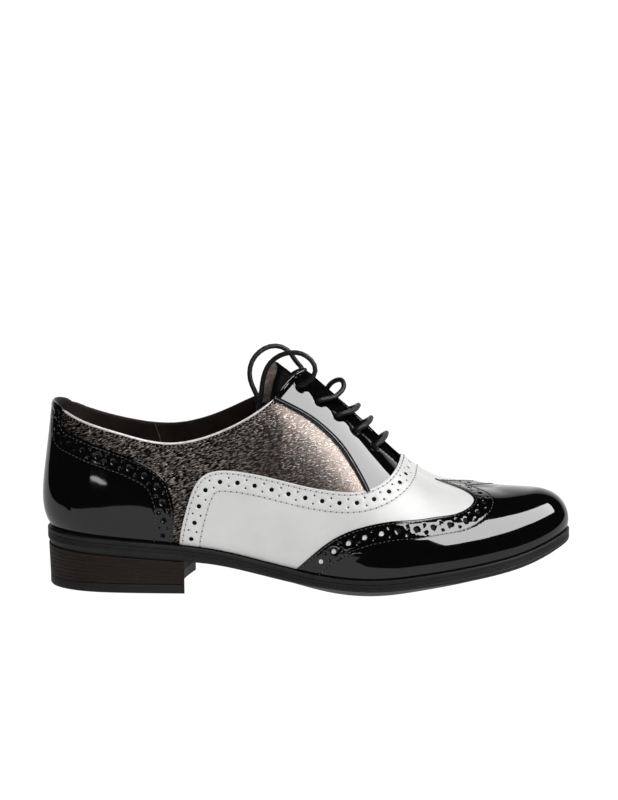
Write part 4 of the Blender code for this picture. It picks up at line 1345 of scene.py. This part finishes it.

# Facings: black patent leather for the lacing, one each side, with a folded rear edge and five punched
# lace holes. The pull of the lace puckers the leather round each hole. By the slit the patent is crumpled,
# and it is made black without shine there, in part as painted shade of the laces.
SLIT_LAND = 14.0
FACING_FRONT, FACING_TOP, FACING_ENDS = 60.0, 200.0, (-60.0, 53.0)
FACING_STRESS = {-1: 10.0, 1: 4.0}
EYELET_RADIUS, EYELET_CORNERS = 1.25, 14
# Dark lines either side of the folded edge: black cords that paint the shade of the grooves there.
FOLD_SHADE_LINES = ((0.42, 0.42), (1.64, 0.5))
# Grey, glossy colour of the folded edge: a painted highlight on the black patent.
fold_edge_highlight = Finish("folded_patent_edge_painted_highlight", Base_Color=grey(0.28), Roughness=0.16).roughen(600.0, 0.00002)
# Band by the slit: crumpled patent made black and without shine, in part painted shade of the laces.
creased_and_shaded = Finish("creased_patent_painted_shade", Specular_IOR_Level=0.0, Roughness=0.25)
fold = creased_and_shaded.noise(creased_and_shaded.place(), 330.0, 3.0, 0.6)
creased_and_shaded.feed(
    Base_Color=creased_and_shaded.ramp(fold, (0.3, grey(0.002)), (0.8, grey(0.008))),
    Normal=creased_and_shaded.bump(fold, 0.0012),
)
for side, word in SIDES:
    rear = facing_rear[side]
    front_s = foot_under(FACING_FRONT, side)
    ahead = np.array([(front_s, rear[-1, 1]), (front_s, FACING_TOP), (rear[0, 0], FACING_TOP)])
    lap = beside(vamp_edges[side], 1.2 * side)
    over = np.array([(lap[-1, 0], FACING_TOP), (lap[0, 0], FACING_TOP)])
    crown = top_edge(*np.sort([foot_under(x, side) for x in FACING_ENDS]) - LAP[side]) + (LAP[side], 0.0)
    under = np.array([(crown[-1, 0], 2.0), (crown[0, 0], 2.0)])
    eyelets = [(*eyelet(number, side), EYELET_RADIUS, EYELET_CORNERS) for number in range(EYELETS)]
    facing_land = [np.vstack([lap, over]), np.vstack([crown, under])]
    facing = panel("patent_facing_" + word, [[np.vstack([rear, ahead])] + facing_land], [patent, pit_shade],
                   lift=-0.3, thick=0.6, fine=1.2, holes=eyelets, relief=lace_pull, stress=FACING_STRESS[side])
    refinish(facing, 0, creased_and_shaded, ridge_tree, SLIT_LAND)
    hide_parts("facing_" + word)
    near, far = beside(rear, -0.1 * side), beside(rear, -2.2 * side)
    strip = panel("folded_edge_highlight_" + word, [[np.vstack([near, far[::-1]])] + facing_land], [fold_edge_highlight],
                  lift=0.35, thick=1.6, fine=0.6, edge=1.05)
    for number, (gap, thick) in enumerate(FOLD_SHADE_LINES):
        line = beside(rear, -gap * side)
        line = line[inside(line, facing_land[0]) & inside(line, facing_land[1])]
        groove_shade = tube(f"fold_groove_shade_{word}_{number}", skin(*line.T) + outward(*line.T) * 0.2, thick, ink_and_shade, 8)

# Rolled edges: the leather is turned over a cord along the top line, pewter along the quarters and
# patent at the back strip and over the facings. The pewter roll is coloured near white, a painted highlight.
back_top = {-1: outer_edge[-1, 0], 1: inner_edge[-1, 0]}
HEEL_ROUND = -0.112


def rolled_edge(name, start, end, finish, radius, deep):
    """Roll along the top line: the outer leather on the outside, lining on the inside, thinner at both ends."""
    path = top_edge(start, end)
    spots = skin(*path.T) + outward(*path.T) * deep
    from_end = np.minimum(np.arange(len(path)), np.arange(len(path))[::-1])
    piece = tube(name, spots, radius, finish, 10, np.clip(0.35 + 0.16 * from_end, 0, 1))
    piece.data.materials.append(lining.material)
    for face in piece.data.polygons:
        away = Vector((min(face.center.x - HEEL_ROUND, 0.0), face.center.y)).normalized()
        if face.normal.x * away.x + face.normal.y * away.y < -0.3:
            face.material_index = 1


# Near-white colour of the pewter collar roll: a painted highlight.
pewter_roll_highlight = Finish("pewter_roll_painted_highlight", Metallic=0.5)
rub = pewter_roll_highlight.noise(pewter_roll_highlight.place(), 700.0, 3.0)
pewter_roll_highlight.feed(
    Base_Color=pewter_roll_highlight.ramp(rub, (0.3, (0.80, 0.75, 0.72, 1)), (0.7, (0.96, 0.93, 0.91, 1))),
    Roughness=0.34 + 0.2 * rub,
    Normal=pewter_roll_highlight.bump(rub, 0.0001),
)
for side, word in SIDES:
    rolled_edge("collar_roll_" + word, facing_top[side], back_top[side], pewter_roll_highlight, 0.62, -1.3)
    rolled_edge("facing_roll_" + word, throat_top[side], facing_top[side], patent, 0.8, -1.5)
    crown = crowns[side]
    binding = panel("facing_binding_" + word, [[loop_of(crown, crown[::-1] - (0.0, CROWN_WIDE))]], [patent],
                    lift=0.0, thick=0.6, fine=0.7, relief=lace_pull, edge=0.35)
rolled_edge("back_roll", back_top[-1], back_top[1], patent, 1.15, -1.3)
collar_rows = [
    (top_edge(back_top[side] - side * 3.0, facing_top[side]) - (0.0, 1.3), -0.92) for side in (-1, 1)]
pewter_thread = Finish("pewter_thread", Base_Color=(0.30, 0.25, 0.22, 1), Roughness=0.4)
pewter_thread.roughen(3000.0, 0.0001, TWIST)
collar_thread = stitches("collar_stitching", collar_rows, pewter_thread, 2.1, 0.7, 0.26)
# Dark marks between the collar stitches: painted shade of the needle holes.
collar_needle_shade = stitches("collar_needle_hole_shade", collar_rows, ink_and_shade, 2.1, 1.5, 0.46, 0.0)
facing_rows = [(top_edge(throat_top[side], facing_top[side]) - (0.0, 2.9), -0.2) for side in (-1, 1)]
facing_thread = stitches("facing_stitching", facing_rows, ink_and_shade, 2.0, 1.3, 0.42)

# Tongue: patent leather lined with bronze leather, stitched round its end. It lies under the facings,
# rises out of the throat and leans back.
TONGUE_END, TONGUE_FRONT = -8.9, 60.0
TONGUE_DEEP, TONGUE_THICK, TONGUE_HALF = 4.7, 1.9, 0.40
TONGUE_ROUND = {-1: 3.0, 1: 9.0}
TONGUE_LEAN_X, TONGUE_LEAN_RUN, TONGUE_NARROW, TONGUE_DROP = 12.0, 20.0, 0.12, 1.0
TONGUE_KNOTS = (-1.0, -0.82, -0.64, -0.46, 0.46, 0.64, 0.82, 1.0)
TONGUE_STEPS, TONGUE_SPAN = 56, 40
glazed = Finish("glazed_tongue_leather", Specular_IOR_Level=0.008, Roughness=0.2)
glazed.feed(
    Base_Color=glazed.ramp(glazed.noise(glazed.place(), 60.0), (0.3, grey(0.002)), (0.7, grey(0.005))),
    Normal=glazed.bump(glazed.noise(glazed.place(), 300.0), 0.00008),
)
bronze = Finish("bronze_leather", Metallic=0.5)
hide = bronze.noise(bronze.place(), 500.0, 4.0, 0.6)
bronze.feed(
    Base_Color=bronze.ramp(hide, (0.3, (0.24, 0.185, 0.155, 1)), (0.7, (0.66, 0.55, 0.48, 1))),
    Roughness=0.42 + 0.2 * hide,
    Normal=bronze.bump(hide, 0.0003),
)


def tongue_arch(part, deep):
    """Smooth arch across the tongue at a share of its length; the outer side is negative."""
    spots = []
    for share in TONGUE_KNOTS:
        side = -1 if share < 0 else 1
        end = TONGUE_END - TONGUE_ROUND[side] * abs(share)
        x = TONGUE_FRONT + (end - TONGUE_FRONT) * part
        run = np.array([foot_under(x, side)])
        girths = GIRTH[int(np.clip(round(run[0] / ROUND * RUN_STEPS), 0, RUN_STEPS))]
        girth = np.array([np.interp(1 - TONGUE_HALF * abs(share), GRID_TURN, girths)])
        place = skin(run, girth)
        spots.append(place[0] - outward(run, girth)[0] * (deep + lace_fall(place)[0]))
    spots = spline_path(spots, TONGUE_SPAN + 1)
    lean = eased(np.clip((TONGUE_LEAN_X - spots[:, 0]) / TONGUE_LEAN_RUN, 0.0, 1.0))
    spots[:, 1] *= 1 - TONGUE_NARROW * lean
    spots[:, 2] -= TONGUE_DROP * lean
    return spots


tongue_rings = []
for step, part in enumerate(np.linspace(0, 1, TONGUE_STEPS + 1)):
    shares = (0.5, 0.5) if step in (0, TONGUE_STEPS) else (0.0, 1.0)
    top, low = (tongue_arch(part, TONGUE_DEEP + TONGUE_THICK * share) for share in shares)
    tongue_rings.append(np.vstack([top, low[::-1], top[:1]]))
bm = bmesh.new()
ring_steps = 2 * TONGUE_SPAN + 2
bmesh.ops.create_grid(bm, x_segments=TONGUE_STEPS, y_segments=ring_steps, size=1.0)
for face in bm.faces:
    face.material_index = int(face.calc_center_median().y > 0)
for vert in bm.verts:
    step = round((vert.co.x + 1) / 2 * TONGUE_STEPS)
    vert.co = tongue_rings[step][round((vert.co.y + 1) / 2 * ring_steps)]
bmesh.ops.remove_doubles(bm, verts=bm.verts, dist=0.01)
bmesh.ops.recalc_face_normals(bm, faces=bm.faces)
tongue = object_from("tongue_strip", bm, glazed, bronze)
smooth_by_angle(tongue, 50)
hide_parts("tongue")

# Laces: one round waxed cord, braided, that crosses the throat in four bars, dips into the lace holes
# and ends in two free lengths that arc over the tongue into the shoe.
LACE, LACE_SEAT = 2.6, -1.2
waxed = Finish("waxed_cord", Specular_IOR_Level=0.35)
braid = waxed.noise(waxed.place(), 1400.0, 2.0)
waxed.feed(
    Base_Color=waxed.ramp(braid, (0.35, grey(0.003)), (0.7, (0.010, 0.0097, 0.0094, 1))),
    Roughness=0.34 + 0.25 * braid,
    Normal=waxed.bump(braid, 0.0004),
)


def over_instep(x, side, girth, lift):
    """Point a girth from the ridge at a station, lifted off the leather."""
    run = np.array([foot_under(x, side)])
    up = full_girth(run) - max(girth, 0.05)
    return skin(run, up)[0] + outward(run, up)[0] * lift


LOOSE_BAR = (
    (12.6, -8.6, 99.6), (16.8, -4.4, 101.4), (18.9, -1.5, 104.2), (17.8, 2.0, 107.0), (14.1, 6.0, 106.2),
    (10.7, 10.0, 103.0),
)
BARS = ((1, 0.0), (2, 7.4), (3, 5.0), (4, 3.8))
for number, bow in BARS:
    start = EYELET_X + EYELET_PITCH * number
    dip = {side: [over_instep(start, side, EYELET_GIRTH, lift) for lift in (-2.6, -0.6)] for side in (-1, 1)}
    if number == 1:
        crossing = list(LOOSE_BAR)
    else:
        crossing = []
        for share in np.linspace(-0.86, 0.86, 13):
            loose = 1 - share * share
            x, girth = start + bow * loose, EYELET_GIRTH * abs(share)
            sunk = lace_pull(np.array([over_instep(x, -1, girth, 0.0)]))[0]
            lift = LACE / 2 + 0.1 + sunk * (1 - loose) * 0.8 + 0.9 * loose
            crossing.append(over_instep(x, -1 if share < 0 else 1, girth, lift))
    bar = tube(f"lace_cross_{number}", spline_path([*dip[-1], *crossing, *dip[1][::-1]], 70), LACE / 2, waxed)
    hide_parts(f"lace_bar_{number}")

OUTER_END = (
    (3.4, -12.9, 110.6), (5.0, -12.2, 115.6), (2.6, -12.0, 120.1), (-2.3, -11.2, 123.1), (-8.8, -10.2, 123.3),
    (-14.4, -9.2, 121.2), (-19.4, -8.2, 116.5), (-22.2, -7.2, 109.8), (-23.3, -6.2, 103.1), (-24.4, -5.2, 95.0),
    (-27.0, -4.6, 84.0), (-31.0, -4.4, 75.0),
)
INNER_END = (
    (-3.6, 14.8, 110.8), (-6.9, 13.2, 115.2), (-9.6, 12.2, 119.6), (-13.2, 11.2, 122.6), (-18.6, 10.2, 123.6),
    (-24.9, 8.2, 121.2), (-29.2, 6.2, 116.0), (-30.4, 5.2, 111.0), (-29.6, 4.2, 105.2), (-26.6, 2.8, 98.6),
    (-25.6, 1.8, 91.0), (-28.4, 1.2, 80.0), (-32.6, 1.0, 72.0),
)
for (side, word), route in zip(SIDES, (OUTER_END, INNER_END)):
    first = over_instep(EYELET_X, side, EYELET_GIRTH, LACE / 2 + LACE_SEAT)
    line = (spline_path([tuple(first), *route], 30) + CENTRE) * MM
    curve = bpy.data.curves.new("lace_free_" + word, "CURVE")
    curve.dimensions = "3D"
    curve.bevel_depth = LACE / 2 * MM
    curve.bevel_resolution = 4
    curve.use_fill_caps = True
    spline = curve.splines.new("POLY")
    spline.points.add(len(line) - 1)
    for knot, place in zip(spline.points, line):
        knot.co = (*place, 1.0)
    spline.use_smooth = True
    curve.materials.append(waxed.material)
    free = placed("lace_free_" + word, curve)
    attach(free, "root")
    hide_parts("lace_end_" + word)
